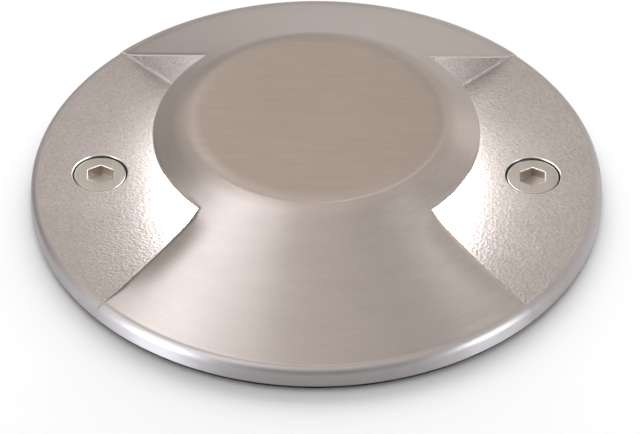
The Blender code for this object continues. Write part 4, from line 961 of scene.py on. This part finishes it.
screw_metal = machined_steel("screw_steel", (0.48, 0.425, 0.375), 0.34)
socket_metal = cast_metal("socket_steel", (0.58, 0.50, 0.42), 0.55, 2600.0)
for side, name in ((-1, "left"), (1, "right")):
    for piece in (make_screw(side, name), make_thread(side, name)):
        piece.data.materials.clear()
        piece.data.materials.append(screw_metal)
        piece.data.materials.append(socket_metal)
        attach(piece, "screw_" + name)
        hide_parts("cover_screw_" + name)

# Materials of the nodes that stay: colour, roughness and, for some plastics, grain, variation and glow

FINE = 0.00001
PLASTICS = {
    "black_rubber": ((0.035, 0.035, 0.036), 0.72),
    "opal_plastic": ((0.95, 0.95, 0.96), 0.30, FINE, 0.01, 16.0),
    "pale_silicone": ((0.72, 0.72, 0.70), 0.55),
    "reflector_white": ((0.88, 0.88, 0.88), 0.30, FINE, 0.02),
    "led_phosphor": ((0.95, 0.83, 0.36), 0.25, FINE, 0.04),
    "board_white": ((0.86, 0.87, 0.85), 0.35, FINE, 0.03),
    "connector_ivory": ((0.85, 0.83, 0.74), 0.45),
    "driver_black": ((0.04, 0.04, 0.045), 0.50),
    "terminal_white": ((0.78, 0.78, 0.74), 0.45),
    "lead_blue": ((0.03, 0.09, 0.35), 0.40),
    "lead_brown": ((0.16, 0.06, 0.03), 0.40),
    "lead_black": ((0.03, 0.03, 0.03), 0.40),
    "lead_red": ((0.50, 0.03, 0.02), 0.40),
    "vent_black": ((0.06, 0.06, 0.06), 0.50),
    "sleeve_plastic": ((0.045, 0.046, 0.05), 0.48, 0.00006, 0.12),
    "plug_plastic": ((0.06, 0.06, 0.065), 0.50),
}
TURNED_METALS = {
    "insert_brass": ((0.72, 0.56, 0.28), 0.30),
    "small_screw_steel": ((0.60, 0.60, 0.60), 0.30),
    "turned_aluminium": ((0.77, 0.78, 0.79), 0.30),
    "tinned_copper": ((0.70, 0.69, 0.66), 0.32),
    "nickel_plate": ((0.64, 0.62, 0.58), 0.24),
}
looks = {name: plastic(name, *values) for name, values in PLASTICS.items()}
looks.update({name: machined_steel(name, *values) for name, values in TURNED_METALS.items()})
looks["cast_aluminium"] = cast_metal("cast_aluminium", (0.40, 0.41, 0.42), 0.50)
looks["lead_green"] = striped("lead_green", (0.06, 0.30, 0.05), (0.78, 0.66, 0.05))

soften = soften_group()
slots = {row["node"]: row["material_slot"] for row in frame["record"]["subparts"]}
for node, obj in frame["nodes"].items():
    if slots[node] in looks:
        obj.data.materials.clear()
        obj.data.materials.append(looks[slots[node]])
        obj.modifiers.new("soft", "NODES").node_group = soften

# Stage: a white slab just below the rim's seat, with a round hole for the body, and the ground under the
# sleeve

SLAB_HALF = 78.0
SLAB_FRONT = -88.0
SLAB_BACK = 82.0
SLAB_HOLE_R = 54.15
SLAB_TOP = PAVING - 1.1
SLAB_LOW = PAVING - 2.1
GROUND_R = 6000.0
GROUND_TOP = -0.3
GROUND_LOW = -3.0


def slab_edge(dx, dy):
    """Point of the slab's outline in a direction from the middle."""
    reaches = []
    if abs(dx) > 1e-9:
        reaches.append(SLAB_HALF / abs(dx))
    if abs(dy) > 1e-9:
        reaches.append((SLAB_BACK if dy > 0 else SLAB_FRONT) / dy)
    return dx * min(reaches), dy * min(reaches)


def make_slab(name, segments=96):
    """Flat slab with a round hole through it."""
    hole = circle(SLAB_HOLE_R, segments)
    outline = [slab_edge(dx, dy) for dx, dy in circle(1.0, segments)]
    rows = [(hole, SLAB_TOP), (outline, SLAB_TOP), (outline, SLAB_LOW), (hole, SLAB_LOW)]
    points = [(x, y, z) for row, z in rows for x, y in row]
    faces = [face[::-1] for face in grid_faces(len(rows), segments, wrap=True)]
    return mesh_object(name, points, faces, lift=0)


slab = make_slab("paving_slab")
slab.data.materials.append(stage_white("stage_paving"))
ground = [(0, GROUND_TOP), (GROUND_R, GROUND_TOP), (GROUND_R, GROUND_LOW), (0, GROUND_LOW)]
floor = lathe("lower_floor", ground, segments=128, lift=0)
floor.data.materials.append(stage_white("stage_floor"))

# Lights

# Studio dome: its level, its darkest share of it, and lighter and darker areas as (azimuth, elevation,
# width in degrees, share of the level)
STUDIO_LEVEL = 0.82
STUDIO_LEAST = 0.08
STUDIO_AREAS = (
    (50, 20, 15, 0.80),
    (130, -5, 38, -0.90),
    (172, 76, 24, 0.20),
    (-90, 88, 26, 0.40),
    (112, 36, 18, 0.30),
    (5, 62, 26, -0.25),
    (90, 66, 20, 0.30),
    (150, 28, 24, -0.60),
    (-90, 20, 64, -0.80),
    (95, 2, 24, -0.55),
)
COOL = (0.82, 0.90, 1.0)


def direction(azimuth, elevation):
    """Unit vector towards a place in the sky, given in degrees."""
    a, e = math.radians(azimuth), math.radians(elevation)
    return Vector((math.cos(a) * math.cos(e), math.sin(a) * math.cos(e), math.sin(e)))


def make_world():
    """Soft even studio dome with a few broad lighter and darker areas."""
    world = bpy.data.worlds.new("studio")
    bpy.context.scene.world = world
    world.use_nodes = True
    g = Graph(world.node_tree)
    way = g.node("ShaderNodeTexCoord").outputs["Generated"]
    total = 1.0
    for azimuth, elevation, width, amount in STUDIO_AREAS:
        dot = g.node("ShaderNodeVectorMath", operation="DOT_PRODUCT")
        g.feed(way, dot.inputs[0])
        g.feed(direction(azimuth, elevation), dot.inputs[1])
        edge = math.cos(math.radians(width))
        total = g.math("ADD", total, g.spread(dot.outputs["Value"], 0.0, amount, edge, 1.0, "SMOOTHSTEP"))
    background = world.node_tree.nodes["Background"]
    background.inputs["Color"].default_value = (STUDIO_LEVEL, STUDIO_LEVEL, STUDIO_LEVEL, 1)
    g.feed(g.math("MAXIMUM", total, STUDIO_LEAST), background.inputs["Strength"])


def area(name, azimuth, elevation, size, radiance, distance=1.3, colour=(1, 1, 1), glossy=True, diffuse=True):
    """Soft box that faces the object; its power follows from how bright its face is."""
    data = bpy.data.lights.new(name, "AREA")
    data.shape = "RECTANGLE"
    data.size, data.size_y = size
    data.energy = radiance * math.pi * size[0] * size[1]
    data.color = colour
    lamp = link(bpy.data.objects.new(name, data))
    way = direction(azimuth, elevation)
    lamp.location = Vector((0, 0, PAVING * MM)) + way * distance
    lamp.rotation_euler = (-way).to_track_quat("-Z", "Y").to_euler()
    lamp.visible_glossy = glossy
    lamp.visible_diffuse = diffuse


make_world()
area("left_softbox", azimuth=172, elevation=64, size=(0.5, 0.75), radiance=2.1, colour=COOL, diffuse=False)
area("back_panel", azimuth=90, elevation=34, size=(2.6, 1.3), radiance=2.8, distance=1.6, glossy=False)
area("low_left_softbox", azimuth=214, elevation=14, size=(0.45, 0.7), radiance=13.0, colour=COOL, diffuse=False)
area("low_right_softbox", azimuth=333, elevation=14, size=(0.4, 0.6), radiance=10.0, colour=COOL, diffuse=False)

# Camera at the photograph's view. Its focal length and the cover's place are in the photograph's pixels.

ELEVATION = math.radians(40.94)
TURN = math.radians(0.55)
DISTANCE = 0.6325
PHOTO_WIDTH = 640.0
FOCAL = 3280.0
AIM_RIGHT = 3.6
AIM_DOWN = 29.8
SENSOR = 36.0
scene = bpy.context.scene
data = bpy.data.cameras.new("camera")
data.sensor_width = SENSOR
data.lens = FOCAL * SENSOR / PHOTO_WIDTH
data.clip_start = 0.01
data.clip_end = 20
camera = link(bpy.data.objects.new("camera", data))
scene.camera = camera
flat = math.cos(ELEVATION)
back = Vector((math.sin(TURN) * flat, -math.cos(TURN) * flat, math.sin(ELEVATION)))
right = Vector((math.cos(TURN), math.sin(TURN), 0))
up = back.cross(right)
centre = Vector((0, 0, PAVING * MM))
camera.location = centre + back * DISTANCE
aim = centre + right * (AIM_RIGHT / FOCAL * DISTANCE) - up * (AIM_DOWN / FOCAL * DISTANCE)
camera.rotation_euler = (aim - camera.location).to_track_quat("-Z", "Y").to_euler()

scene.view_settings.view_transform = "Standard"
